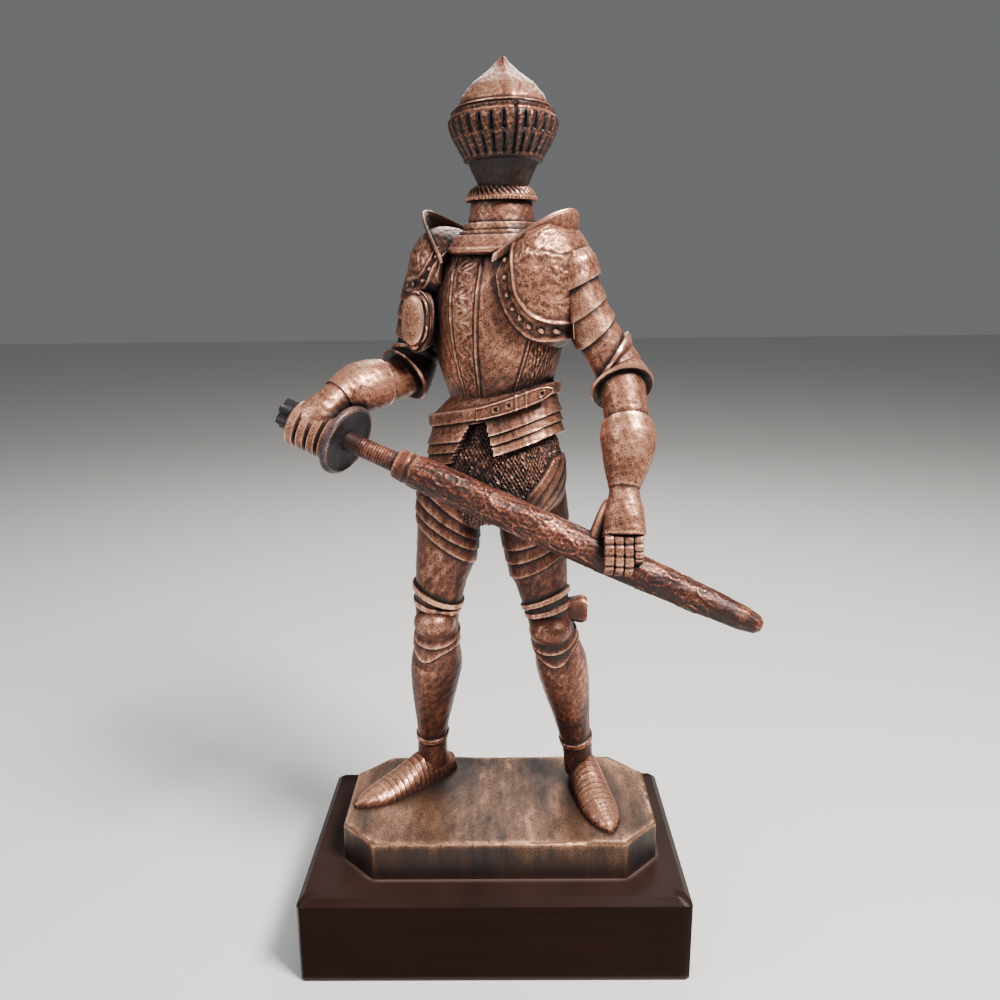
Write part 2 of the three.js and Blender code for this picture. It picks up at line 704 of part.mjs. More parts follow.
for (const [name, surface] of [['right', RIGHT_LEG], ['left', LEFT_LEG]]) {
  const slant = SLANT[name];
  const drop = LAME_DROP[name];
  const lames = THIGH_LAMES[name].flatMap((t) => [[t, 3, drop, slant], [t + 0.003, 1, drop, slant]]);
  const thigh = [[0.04, 0, drop / 2, slant / 2], ...lames, [0.25, 0, 4, slant / 3]];
  pieces.push(armoured(surface, [...thigh, ...kneeToFoot(slant / 2)], 10));
  const [x, y, z] = KNEE_PLACE[name];
  const ball = (u, a) => {
    const swing = degrees(-80 + 160 * u);
    return point(x + 29 * cos(swing) * sin(a), y - 29 * cos(swing) * cos(a), z + 22 * sin(swing));
  };
  pieces.push(skin(ball, spread(5), 10));
}

// The outer wing of the left knee guard stands out at the side.
const KNEE_WING = [
  [-1, -0.7], [-0.4, -1], [0.5, -0.9], [1, -0.2], [0.7, 0.5], [1, 0.9], [0, 1], [-1, 0.6],
];
const wingSection = (out, half) => KNEE_WING.map(([b, c]) => point(out, -8 + 9 * b, 298 + half * c));
pieces.push(loft([wingSection(96, 14), wingSection(112, 17), wingSection(124, 19), wingSection(131, 15)]));

// Pointed sabatons of overlapping lames: share of the length, half width, height.
const SABATON = smooth([
  [0, 12, 24],
  [0.1, 18, 38],
  [0.22, 22, 50],
  [0.36, 24, 44],
  [0.52, 26, 32],
  [0.68, 26, 23],
  [0.82, 22, 18],
  [0.93, 13, 13],
  [1, 3, 7],
]);
const SABATON_LAMES = 4;
const SOLE_SINK = -4;
function sabaton([heelAcross, heelBack], [toeAcross, toeBack]) {
  const length = Math.hypot(toeAcross - heelAcross, toeBack - heelBack);
  const dx = (toeAcross - heelAcross) / length;
  const dy = (toeBack - heelBack) / length;
  const section = (u, grow) => {
    const [, half, tall] = SABATON(u);
    const arch = spread(5, 0, PI).map((a) => [(half + grow) * cos(a), (tall + grow) * sin(a) ** 0.85]);
    const ring = [[half + grow, SOLE_SINK], ...arch, [-half - grow, SOLE_SINK]];
    return ring.map(([side, up]) =>
      point(heelAcross + dx * length * u - dy * side, heelBack + dy * length * u + dx * side, up),
    );
  };
  const sections = [section(0, 0), section(0.12, 0)];
  for (const u of spread(SABATON_LAMES, 0.26, 0.74)) sections.push(section(u, 0), section(u + 0.006, 1.8));
  sections.push(section(0.82, 0.8), section(0.92, 0.4), section(1, 0));
  return loft(sections);
}
pieces.push(sabaton([-68, 86], [-201, -28]), sabaton([127, 82], [161, -92]));

// The ground under the feet, an eight-sided block with slightly sloping walls.
function octagon(width, depth, corner, up) {
  const x = width / 2;
  const y = depth / 2;
  const half = [[x, corner - y], [x, y - corner], [x - corner, y], [corner - x, y]];
  return [...half, ...half.map(([a, b]) => [-a, -b])].map(([a, b]) => new THREE.Vector3(a, b, up));
}
pieces.push(
  loft([
    octagon(GROUND_WIDTH + 2 * GROUND_DRAFT, GROUND_DEPTH + 2 * GROUND_DRAFT, GROUND_CORNER, 0),
    octagon(GROUND_WIDTH, GROUND_DEPTH, GROUND_CORNER, GROUND_HEIGHT),
  ]),
);

const casting = breaths.reduce(
  (whole, breath) => whole.subtract(breath),
  pieces.reduce((whole, piece) => whole.add(piece)),
);

function meshOf(shape, name, color, roughness, metalness) {
  const { vertProperties, triVerts } = shape.getMesh();
  const geometry = new THREE.BufferGeometry();
  geometry.setAttribute('position', new THREE.BufferAttribute(vertProperties, 3));
  geometry.setIndex(new THREE.BufferAttribute(triVerts, 1));
  geometry.computeVertexNormals();
  const mesh = new THREE.Mesh(geometry, new THREE.MeshStandardMaterial({ color, roughness, metalness }));
  mesh.name = name;
  return mesh;
}

// The plinth is a lacquered block with a chamfer round its top.
const blockSection = (inset, up) => octagon(PLINTH_WIDTH - 2 * inset, PLINTH_DEPTH - 2 * inset, 1, up);
const block = loft([
  blockSection(0, 0),
  blockSection(0, PLINTH_HEIGHT - PLINTH_CHAMFER),
  blockSection(PLINTH_CHAMFER, PLINTH_HEIGHT),
]);

const group = new THREE.Group();
group.add(meshOf(block, 'plinth', 0x2a1512, 0.35, 0));
const knight = meshOf(casting, 'knight_casting', 0x9a5f47, 0.45, 0.75);
knight.position.set(GROUND_OFFSET, 0, PLINTH_HEIGHT);
group.add(knight);

export default group;
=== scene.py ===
# %% [markdown]
# # A cast knight on a wooden plinth
# The statue is a copper-finished casting of a knight in full plate armour. It holds a sheathed sword
# across the body and stands on an eight-sided ground, which rests on a lacquered block of wood.
# The block and the ground need little more than softened edges, so this lesson spends its time on
# the armour: each plate becomes a surface worked out with numpy, fine enough to carry rims, rivets,
# scrollwork and the worn, dark-in-the-hollows look of an antique finish.

import math

import bpy
import numpy as np
from mathutils import Matrix


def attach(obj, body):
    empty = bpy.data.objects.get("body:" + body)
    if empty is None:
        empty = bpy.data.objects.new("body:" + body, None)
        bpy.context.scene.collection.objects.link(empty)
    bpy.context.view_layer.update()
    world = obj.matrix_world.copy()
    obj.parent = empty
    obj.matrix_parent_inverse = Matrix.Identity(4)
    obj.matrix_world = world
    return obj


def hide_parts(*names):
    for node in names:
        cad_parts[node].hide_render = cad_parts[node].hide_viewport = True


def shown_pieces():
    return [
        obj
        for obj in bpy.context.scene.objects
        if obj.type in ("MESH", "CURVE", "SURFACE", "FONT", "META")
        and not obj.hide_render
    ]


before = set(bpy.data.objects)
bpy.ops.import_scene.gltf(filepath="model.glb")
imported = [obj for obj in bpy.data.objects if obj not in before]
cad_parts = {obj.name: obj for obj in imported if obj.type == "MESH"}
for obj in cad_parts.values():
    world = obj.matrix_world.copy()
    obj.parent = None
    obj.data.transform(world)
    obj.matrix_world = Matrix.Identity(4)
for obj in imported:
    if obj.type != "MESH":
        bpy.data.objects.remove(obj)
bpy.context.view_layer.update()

# %% [markdown]
# ## Measuring the figure
# Sculptors measure a figure in shares of its height, and so does this file: one unit is a
# thousandth of the height from the ground's top to the point of the helmet. A point is `across`
# (to the viewer's right), `back` (away from the viewer) and `up` (from the ground's top).

# %% Units and smooth lines
FIGURE_HEIGHT = 0.304
UNIT = FIGURE_HEIGHT / 1000
PLINTH_TOP = 0.038
GROUND_TOP = PLINTH_TOP + 0.0165
TAU = 2 * math.pi


def figure(across, back, up):
    """A point in metres: each share times the unit, with heights counted from the ground's top."""
    across, back, up = np.broadcast_arrays(across, back, up)
    return np.stack([across * UNIT, back * UNIT, GROUND_TOP + up * UNIT], -1)


def up_of(place):
    """Height over the ground's top, in thousandths of the figure, of places in metres."""
    return (place[:, 2] - GROUND_TOP) / UNIT


def unit(v):
    """A vector divided by its own length."""
    return v / np.maximum(np.linalg.norm(v, axis=-1, keepdims=True), 1e-12)


def round_turn(columns):
    """Angles spaced evenly round a full turn, from 0."""
    return np.arange(columns) * TAU / columns


def signed(angle):
    """Angles of a full turn told as minus half a turn to half a turn, with the front at 0."""
    return np.where(angle > np.pi, angle - TAU, angle)


def smooth(rows):
    """A Catmull-Rom line: between two rows, the cubic whose slope at each row is half the step
    between that row's neighbours. It is read at a share of the rows' number."""
    rows = np.array(rows, float)
    last = len(rows) - 1

    def at(t):
        place = np.clip(np.asarray(t, float), 0, 1) * last
        i = np.minimum(place.astype(int), last - 1)
        f = (place - i)[..., None]
        a, b, c, d = (rows[np.clip(i + k, 0, last)] for k in (-1, 0, 1, 2))
        return b + 0.5 * f * (c - a + f * (2 * a - 5 * b + 4 * c - d + f * (3 * (b - c) + d - a)))

    return at


def oval(angle, wide, front, back, power=2.0):
    """A squared-off oval: sine times the half width and cosine times the depth, each raised to two
    over the power. Angle 0 is the front, and the front may be deeper than the back."""
    def bent(value):
        return np.sign(value) * np.abs(value) ** (2 / power)

    deep = np.where(np.cos(angle) > 0, front, back)
    return wide * bent(np.sin(angle)), -deep * bent(np.cos(angle))


def segment(across, back, turn, slope=0.0, lean=0.0):
    """A body segment's own frame: local points are turned by an angle about the upright, raised by
    slope times their local across, and shifted by lean times their height."""
    c, s = math.cos(math.radians(turn)), math.sin(math.radians(turn))

    def place(x, y, z):
        return figure(across + c * x + s * y + lean * z, back - s * x + c * y, z + slope * x)

    return place


def facing(turn, up=0.0):
    """The direction that a turned front looks in."""
    a = math.radians(turn)
    return unit(np.array([-math.sin(a), -math.cos(a), up]))


def limb(stations, front):
    """A tube round a smooth line. Its ring lies across the line, with the front's direction made
    square to it: centre + depth x cos(angle) x front + width x sin(angle) x side, and the ring may
    slide along the line at its front (lean), at its side (tilt) or to a point in front (peak)."""
    at = smooth(stations)

    def surface(t, a, grow=0.0, lean=0.0, tilt=0.0, peak=0.0):
        t, a, grow, lean, tilt, peak = np.broadcast_arrays(t, a, grow, lean, tilt, peak)
        here = at(t)
        along = unit(at(t + 0.01)[..., :3] - at(t - 0.01)[..., :3])
        side = unit(np.cross(np.broadcast_to(front, along.shape), along))
        ahead = np.cross(along, side)
        slide = lean * np.cos(a) + tilt * np.sin(a) + peak * np.maximum(np.cos(a), 0) ** 4
        p = here[..., :3] + along * slide[..., None]
        p = p + ahead * ((here[..., 4] + grow) * np.cos(a))[..., None]
        p = p + side * ((here[..., 3] + grow) * np.sin(a))[..., None]
        return figure(p[..., 0], p[..., 1], p[..., 2])

    return surface


print("one unit is", round(UNIT * 1000, 3), "mm")

# %% [markdown]
# ## From a grid to a mesh
# Every plate is a grid of points: rows along it and columns round it. Relief, such as a rim or a
# scroll, moves each point along the surface's own outward direction. That is easier to draw than a
# cut or an added body, and its edges stay soft, as a casting's do.

# %% Grids
def grid(rows, columns):
    """Two arrays: the share along the rows, 0 to 1, and the angle round the columns, 0 to a turn."""
    return np.meshgrid(np.linspace(0, 1, rows), round_turn(columns), indexing="ij")


def outward(points):
    """The surface's normal at each point of a closed-round grid: the cross product of the step to
    the next column and the step to the next row, pointed away from the middle of its row."""
    round_step = np.roll(points, -1, 1) - np.roll(points, 1, 1)
    along_step = np.gradient(points, axis=0)
    normal = unit(np.cross(round_step, along_step))
    away = points - points.mean(1, keepdims=True)
    return normal * (1.0 if (normal * away).sum() > 0 else -1.0)


def raised(points, height):
    """The grid moved along its normals by a height in units."""
    return points + outward(points) * (np.asarray(height) * UNIT)[..., None]


def refined(rows, step):
    """Profile rows with even ones put between them: straight from row to row, so edges stay crisp."""
    width = max(len(row) for row in rows)
    rows = np.array([list(row) + [0.0] * (width - len(row)) for row in rows], float)
    parts = [
        a + (b - a) * np.linspace(0, 1, max(int(abs(b[0] - a[0]) / step), 2), endpoint=False)[:, None]
        for a, b in zip(rows, rows[1:])
    ]
    return np.concatenate(parts + [rows[-1:]])


print("a profile of two rows is refined to", len(refined([[0, 1], [1, 1]], 0.1)))

# %% [markdown]
# ## Closed shells and pieces
# A cast body has no open edges, so each grid is closed before it becomes a mesh. One piece may hold
# several shells that overlap, as plates do, and the whole piece is filled with arrays at once,
# because adding its points one by one would be slow.

# %% Shells and pieces
def closed_faces(rows, columns):
    """Quads between neighbouring rows, and triangles from each end row to its own end point."""
    i, j = np.meshgrid(np.arange(rows - 1), np.arange(columns), indexing="ij")
    k = (j + 1) % columns
    quads = np.stack([i * columns + j, i * columns + k, (i + 1) * columns + k, (i + 1) * columns + j], -1)
    j = np.arange(columns)
    k = (j + 1) % columns
    first, last = rows * columns, rows * columns + 1
    top = (rows - 1) * columns
    caps = np.concatenate([
        np.stack([np.full(columns, first), k, j], -1),
        np.stack([np.full(columns, last), top + j, top + k], -1),
    ])
    return quads.reshape(-1, 4), caps


def shell(points):
    """A grid as a closed shell: its vertices, quads and triangles, turned to face outwards."""
    rows, columns = points.shape[:2]
    ends = np.stack([points[0].mean(0), points[-1].mean(0)])
    vertices = np.concatenate([points.reshape(-1, 3), ends])
    quads, caps = closed_faces(rows, columns)
    a, b, c, d = (vertices[quads[:, n]] for n in range(4))
    volume = (a * np.cross(b, c)).sum() + (a * np.cross(c, d)).sum()
    if volume < 0:
        quads, caps = quads[:, ::-1], caps[:, ::-1]
    return vertices, quads, caps


SHARP_EDGE = math.radians(40)


def new_object(name, data):
    """An object that shows this mesh, light or camera, put into the scene."""
    made = bpy.data.objects.new(name, data)
    bpy.context.scene.collection.objects.link(made)
    return made


def mesh_piece(name, grids, node="knight_casting", shade=None):
    """One object from many closed grids, with its worn and hollow places kept as an attribute. Most
    pieces are of the casting, so its node is the usual one. The shade function gives painted shade:
    what is taken off the wear at a place in metres, where less light falls."""
    vertices, quads, caps, start = [], [], [], 0
    for points in grids:
        v, q, c = shell(points)
        vertices.append(v)
        quads.append(q + start)
        caps.append(c + start)
        start += len(v)
    vertices, quads, caps = (np.concatenate(part) for part in (vertices, quads, caps))
    mesh = bpy.data.meshes.new(name)
    corners = np.concatenate([quads.ravel(), caps.ravel()])
    sizes = np.concatenate([np.full(len(quads), 4), np.full(len(caps), 3)])
    mesh.vertices.add(len(vertices))
    mesh.vertices.foreach_set("co", vertices.astype(np.float32).ravel())
    mesh.loops.add(len(corners))
    mesh.loops.foreach_set("vertex_index", corners.astype(np.int32))
    mesh.polygons.add(len(sizes))
    mesh.polygons.foreach_set("loop_start", (np.cumsum(sizes) - sizes).astype(np.int32))
    mesh.update(calc_edges=True)
    mesh.validate()
    mesh.shade_smooth()
    mesh.set_sharp_from_angle(angle=SHARP_EDGE)
    add_wear_and_shade(mesh, 0 if shade is None else shade(vertices))
    piece = new_object(name, mesh)
    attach(piece, "root")
    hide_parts(node)
    print(name, len(quads) * 2 + len(caps), "triangles")
    return piece


print("edges over", round(math.degrees(SHARP_EDGE)), "degrees stay sharp")

# %% [markdown]
# ## Where the finish is rubbed
# On an antique finish the edges that hands touch are bright and the hollows keep dark wax. Both
# come from the shape itself: at an edge the neighbours of a point fall behind its tangent plane,
# and in a hollow they stand in front of it. That number, less the painted shade that some pieces
# get where less light falls, is kept on each point for the material.

# %% Wear from curvature, less painted shade
def add_wear_and_shade(mesh, shade):
    """For each point, minus the mean of (unit step to each neighbour) dot (normal), then spread a
    little to its neighbours: above zero on edges and below zero in hollows. The painted shade given
    for the piece is taken off it."""
    count = len(mesh.vertices)
    place = np.empty(count * 3, np.float32)
    normal = np.empty(count * 3, np.float32)
    ends = np.empty(len(mesh.edges) * 2, np.int32)
    mesh.vertices.foreach_get("co", place)
    mesh.vertices.foreach_get("normal", normal)
    mesh.edges.foreach_get("vertices", ends)
    place, normal, ends = place.reshape(-1, 3), normal.reshape(-1, 3), ends.reshape(-1, 2)
    a, b = ends[:, 0], ends[:, 1]
    step = unit(place[b] - place[a])
    number = np.bincount(ends.ravel(), minlength=count)

    def mean(at_a, at_b):
        total = np.bincount(a, at_a, count) + np.bincount(b, at_b, count)
        return total / np.maximum(number, 1)

    bend = mean(-(step * normal[a]).sum(1), (step * normal[b]).sum(1))
    wide = bend
    for _ in range(4):
        wide = 0.4 * wide + 0.6 * mean(wide[b], wide[a])
    wear_and_shade = mesh.attributes.new("wear_and_shade", "FLOAT", "POINT")
    wear_and_shade.data.foreach_set("value", np.clip(0.35 * bend + 1.2 * wide - shade, -1, 1).astype(np.float32))


print("ready to build")

# %% [markdown]
# ## Scrollwork
# Armourers filled their bands with generic scrolls. A scroll is an Euler spiral, a line whose
# curvature grows evenly along it, so it winds up at both ends. The relief is highest on the line
# and falls away with the distance from it, like a cord laid on the plate.

# %% Scroll lines and raised strokes
def scroll(across, up, size, heading=0.0, wind=2.4, same_side=False):
    """Points of an Euler spiral: the heading is wind x (share along it) squared x pi / 2, and the
    place is the running sum of steps in that heading. same_side winds both ends one way."""
    s = np.linspace(-1, 1, 61)
    bend = np.sign(s) * s**2 if same_side else s**2
    turn = math.radians(heading) + wind * np.pi / 2 * bend
    x, y = np.cumsum(np.cos(turn)), np.cumsum(np.sin(turn))
    x, y = x - x[30], y - y[30]
    scale = size / max(np.ptp(x), np.ptp(y))
    return np.stack([across + x * scale, up + y * scale], -1)


def strokes(x, y, lines, width):
    """The greatest over the lines of exp(-(distance / width) squared), with the distance measured
    to the nearest of the line's closely spaced points."""
    shape = np.broadcast(x, y).shape
    x = np.broadcast_to(x, shape).ravel().astype(np.float32)
    y = np.broadcast_to(y, shape).ravel().astype(np.float32)
    best = np.full(x.shape, 1e9, np.float32)
    for line in lines:
        low, high = line.min(0) - 2.5 * width, line.max(0) + 2.5 * width
        near = np.flatnonzero((x > low[0]) & (x < high[0]) & (y > low[1]) & (y < high[1]))
        if len(near) == 0:
            continue
        gap = (x[near, None] - line[None, :, 0]) ** 2 + (y[near, None] - line[None, :, 1]) ** 2
        best[near] = np.minimum(best[near], gap.min(1))
    return np.exp(-best / width**2).reshape(shape)


def dots(x, y, places, radius):
    """Round bosses: for each place, the square root of one minus (distance / radius) squared."""
    height = np.zeros(np.broadcast(x, y).shape)
    for px, py in places:
        gap = ((x - px) ** 2 + (y - py) ** 2) / radius**2
        height = np.maximum(height, np.sqrt(np.clip(1 - gap, 0, 1)))
    return height


def grain(x, y, z, size, seed=0):
    """Soft unevenness: a sum of eight sine waves in fixed scattered directions, about one high."""
    rng = np.random.default_rng(seed)
    total = 0.0
    for _ in range(8):
        direction = unit(rng.normal(size=3)) * TAU / (size * rng.uniform(0.7, 1.6))
        total = total + np.sin(direction[0] * x + direction[1] * y + direction[2] * z + rng.uniform(0, TAU))
    return total / 4


def cast_grain(points, size=9.0, height=0.35, seed=0):
    """The faint lumpiness of a casting, as heights for a grid of points in metres."""
    x, y, z = np.moveaxis(points / UNIT, -1, 0)
    return height * grain(x, y, z, size, seed)


def ridge(x, middle, width):
    """A soft ridge along a line: exp(-((x - middle) / width) squared), 1 on the line itself."""
    return np.exp(-(((x - middle) / width) ** 2))


def step_up(x, edge, soft):
    """A smooth step: 0 below the edge and 1 above it, over a width."""
    t = np.clip((x - edge) / soft + 0.5, 0, 1)
    return t * t * (3 - 2 * t)


print("scroll of", len(scroll(0, 0, 10)), "points")

# %% [markdown]
# ## Helmet
# A pointed skull with a keel from front to back, drawn in below to the throat. It is an oval that
# changes with height, so a table of a few heights and half widths makes the whole dome.

# %% Helmet
head = segment(20, 2, -9.4)
SKULL = smooth([
    [850, 29, 32, 31], [865, 36, 42, 40], [882, 44, 53, 49], [896, 52, 63, 57], [912, 58, 70, 63],
    [928, 59, 74, 64], [942, 55, 70, 61], [955, 49, 61, 56], [968, 39, 46, 45], [979, 25, 29, 29],
    [989, 13, 14, 14], [1000, 3, 3, 3],
])


# Low leaves on the dome, alike on both sides of the keel: distance round from it, and height.
SKULL_SCROLLS = [
    scroll(14, 956, 18, 70, 2.2), scroll(30, 953, 20, 20, 2.2, True), scroll(50, 951, 20, -20, 2.2),
    scroll(70, 952, 20, 20, 2.2, True), scroll(92, 951, 20, -10, 2.2), scroll(20, 970, 14, 80, 2.0),
]


def skull_grid():
    """Ovals by height, with a narrow keel added to the front and the back, and a lip at the brow."""
    u, a = grid(130, 160)
    up, wide, front, back = np.moveaxis(SKULL(u), -1, 0)
    keel = 3.2 * np.abs(np.cos(a)) ** 90 * step_up(up, 900, 10)
    x, y = oval(a, wide, front + keel, back + keel)
    points = head(x, y, up)
    lip = 3.4 * ridge(up, 940, 1.8) - 0.8 * ridge(up, 944.5, 1.4)
    arc = np.abs(signed(a)) * wide
    leaves = 0.8 * strokes(arc, up, SKULL_SCROLLS, 1.8) * step_up(up, 945, 3)
    return raised(points, lip + leaves + cast_grain(points, 9, 0.3, 1))


def bevor_shade(place):
    """Painted shade below the visor, on the throat plate under its overhang."""
    return 0.13 * step_up(-up_of(place), -884, 4)


mesh_piece("helmet", [skull_grid()], shade=bevor_shade)

# %% [markdown]
# ## Visor
# The visor is a barrel with two rows of keyhole slots, which let the wearer breathe and see. On a
# casting they are only sunk, so here the grid has columns enough to press them in.

# %% Visor
VISOR = smooth([[880, 46, 57], [892, 53, 68], [904, 60, 76], [915, 65, 80], [925, 67, 81], [937, 63, 77]])
VISOR_EDGE = math.radians(104)


def visor_grid():
    """Ovals by height, drawn in behind the ears. A keyhole slot is the union of a thin upright slit
    and a round hole at its foot: points nearer than its half width are sunk, and a rim is raised. A
    crease runs down the middle, and two upright mouldings stand beside the first slots."""
    u, a = grid(84, 380)
    up, wide, front = np.moveaxis(VISOR(u), -1, 0)
    inside = np.where(np.abs(signed(a)) > VISOR_EDGE, -12.0, 0.0)
    beak = 7 * np.maximum(np.cos(a), 0) ** 8
    x, y = oval(a, wide + inside, front + beak + inside, front - 12 + inside)
    points = head(x, y, up)
    along = np.degrees(signed(a)) * 1.18
    height = 1.6 * ridge(up, 882, 1.6) - 2.2 * ridge(up, 932, 2.4)
    crease = 3.0 * ridge(along, 1.5, 1.6) * (up > 883)
    panel = ridge(np.abs(along - 13), 9.5, 1.2) * (up > 885) * (up < 929)
    height = height - crease + 1.4 * panel
    for foot, tall in ((885, 17), (908, 17)):
        for n in range(7):
            for side in (-1, 1):
                gap = np.abs(along - side * (13.0 + 14.6 * n))
                slit = np.hypot(gap, np.maximum(np.abs(up - foot - tall / 2 - 2) - tall / 2 + 2, 0)) - 1.1
                hole = np.hypot(gap, up - foot - 2.5) - 2.4
                edge = np.minimum(slit, hole)
                height = height + 0.5 * ridge(edge, 1.6, 0.9) - 3.6 * step_up(-edge, 0.0, 0.9)
    return raised(points, height + cast_grain(points, 6, 0.35, 4))


mesh_piece("visor", [visor_grid()])

# %% [markdown]
# ## Bevor, roped rim and gorget
# One profile turned round the neck. The rope round the rim is a sine wave that leans as it goes
# round, and the lames of the throat are steps in the profile.

# %% Collar
throat = segment(18, 8, 36)
COLLAR = [
    [771, 60, 60, 49], [774, 63, 65, 51], [777, 64, 66, 51], [794, 55, 57, 47], [795, 51, 52, 44],
    [809, 47, 48, 43], [810, 42, 43, 40], [824, 40, 41, 39], [835, 38, 39, 37], [836, 45, 46, 43],
    [839, 45.5, 46.5, 43.5], [846, 40, 41, 39], [852, 36, 37, 35], [854, 33, 34, 33], [857, 29, 30, 29],
]


def collar_grid():
    """Profile rows of height, half width, front and back, each made an oval ring."""
    rows = refined(COLLAR, 1.1)
    up, wide, front, back = (rows[:, k, None] for k in range(4))
    a = round_turn(200)
    power = np.where(up < 800, 2.5, 2.0)
    x, y = oval(a, wide, front, back, power)
    points = throat(x, y, up + 0 * a)
    rope = ridge(up, 847, 4.5) * 1.4 * np.sin(38 * a + up * 0.8)
    rope = rope + 1.0 * ridge(up, 837.5, 1.6) * np.sin(60 * a)
    lines = 0.8 * ridge(up, 779, 1.6) - 0.7 * ridge(up, 801, 1.0)
    return raised(points, rope + lines + cast_grain(points, 8, 0.3, 2))


mesh_piece("collar", [collar_grid()])

# %% [markdown]
# ## Breastplate
# The breastplate is a squared oval that swells and draws in to the waist. Ornamented bands run down
# it, one at the centre and one at the side, each between raised borders. The ornament is drawn flat
# first, as lines by place across the band and height, and then laid on by angle and height.

# %% Bands
chest = segment(5, 16, 36, 0, 0.012)
TORSO = smooth([
    [570, 64, 48, 43], [600, 73, 57, 47], [630, 83, 66, 53], [660, 90, 72, 57], [690, 93, 74, 59],
    [720, 92, 72, 59], [750, 86, 65, 55], [775, 72, 54, 47], [796, 50, 40, 38],
])
# Each band's two edges in degrees from the front: at the waist, and how much more at the neck.
BANDS = {"centre": ((-8, -8), (8, 3)), "side": ((43, 30), (57, 46))}


# Leaf scrolls that lean from side to side up a band, with a bead in each bay. A band is drawn as if
# it were this wide on each side of its middle.
BAND_HALF = 13
BAND_LEVELS = np.arange(582, 790, 15)


def bay_scroll(bay, way, rise, length, heading, wind):
    """A scroll of one bay of the band: it leans one way in even bays and the other way in odd ones."""
    lean = way * (2.5 - 5 * (bay % 2))
    return scroll(lean, BAND_LEVELS[bay] + rise, length, 90 - heading * lean, wind * lean / 2.5, True)


# The two scrolls of a bay: the way each leans, its rise, length, heading and wind.
BAY_SCROLLS = [(1, 0, 26, 14, 2.2), (-1, 7, 17, 22, 2.6)]
BAND_LINES = [bay_scroll(bay, *one) for bay in range(len(BAND_LEVELS)) for one in BAY_SCROLLS]
BAND_BEADS = [(7 - 14 * (n % 2), level + 4) for n, level in enumerate(BAND_LEVELS)]


def band_relief(angle, up, edges):
    """A raised double border along both edges, and scrolls with dots along the band's middle."""
    share = (up - 585) / 184
    (low, low_more), (high, high_more) = edges
    low, high = low + low_more * share, high + high_more * share
    middle, half = (low + high) / 2, (high - low) / 2
    off = (angle - middle) / half
    edge = (np.abs(off) - 1) * half
    border = 1.0 * ridge(edge, 0, 1.0) + 0.4 * ridge(edge, -3.0, 0.7)
    groove = -0.8 * ridge(edge, 2.0, 0.9) - 0.4 * ridge(edge, -1.7, 0.6)
    place = off * BAND_HALF
    worn = 0.55 + 0.45 * grain(place, up, 0 * up, 13, 5)
    height = worn * (1.3 * strokes(place, up, BAND_LINES, 1.6) + 1.1 * dots(place, up, BAND_BEADS, 1.9))
    return 2.0 * border + groove + height * step_up(-np.abs(place), -BAND_HALF + 3.5, 0.6)


print("band scrolls:", len(BAND_LINES))


# %% [markdown]
# ## The plate itself
# The rows of the plate climb from the waist to the neck. A hatching of fine upright lines fills the
# side, where the plate passes under the arm.

# %% Breastplate
def torso_grid():
    """Squared ovals by height, with the bands' relief by angle and height."""
    u, a = grid(160, 330)
    up, wide, front, back = np.moveaxis(TORSO(u), -1, 0)
    x, y = oval(a, wide, front, back, 2.1)
    points = chest(x, y, up)
    angle = np.degrees(signed(a))
    relief = sum(band_relief(angle, up, edges) for edges in BANDS.values())
    hatch = 0.5 * np.sin(angle * 4.0) * step_up(angle, 60, 6) * step_up(-angle, -84, 6)
    return raised(points, relief + hatch + cast_grain(points, 10, 0.35, 3))


mesh_piece("breastplate", [torso_grid()])

# %% [markdown]
# ## Pauldrons
# The shoulder guards are domes laid along the shoulder's line. A double moulding with rivets
# follows the front edge, embossed scrolls fill the dome, and an upright wing guards the neck.

# %% Lines on the shoulders
SHELL_MIDDLE = 742
LEFT_SHELL = smooth([
    [50, 68, 54, 694, 784], [60, 72, 58, 674, 795], [74, 73, 62, 662, 806], [89, 69, 62, 658, 810],
    [101, 58, 56, 662, 804], [114, 44, 45, 674, 792], [123, 28, 30, 694, 776], [128, 10, 12, 722, 762],
])
RIGHT_SHELL = smooth([
    [46, 68, 54, 728, 784], [56, 70, 58, 720, 795], [72, 70, 62, 713, 806], [90, 66, 62, 708, 810],
    [107, 56, 56, 704, 804], [120, 42, 45, 704, 792], [130, 26, 30, 712, 776], [136, 10, 12, 728, 762],
])
WING = smooth([
    [40, -68, 762, 772], [64, -50, 776, 794], [90, -26, 785, 815], [104, 2, 788, 823],
    [94, 30, 786, 815], [66, 45, 776, 800],
])


# The outer and inner moulding of each dome, in the chest's own distance out and height.
LEFT_OUTER = smooth([
    [46, 778], [47, 760], [50, 742], [54, 720], [59, 703], [65, 691], [73, 681], [82, 674], [92, 671],
    [104, 671], [116, 674],
])
LEFT_INNER = smooth([
    [63, 782], [68, 768], [72, 752], [74, 738], [77, 724], [82, 714], [88, 705], [95, 697], [104, 692],
    [114, 690], [122, 690],
])
RIGHT_OUTER = smooth([
    [47, 774], [50, 764], [54, 753], [60, 740], [70, 732], [88, 731], [106, 730], [122, 729],
])
RIGHT_INNER = smooth([
    [58, 780], [60, 770], [64, 759], [71, 750], [80, 745], [92, 744], [106, 743], [120, 742],
])
# The domes are filled with scrolls of different sizes, sown in rows with a fixed seed.
rng = np.random.default_rng(17)
DOME_SCROLLS = [
    scroll(across + rng.uniform(-2, 2), up + rng.uniform(-3, 3), rng.uniform(15, 30), rng.uniform(0, 180),
           rng.uniform(1.8, 2.8), rng.random() > 0.4)
    for up in np.arange(694, 806, 11.5)
    for across in np.arange(80 + 4 * np.sin(up), 132, 13)
]


print("dome scrolls:", len(DOME_SCROLLS))


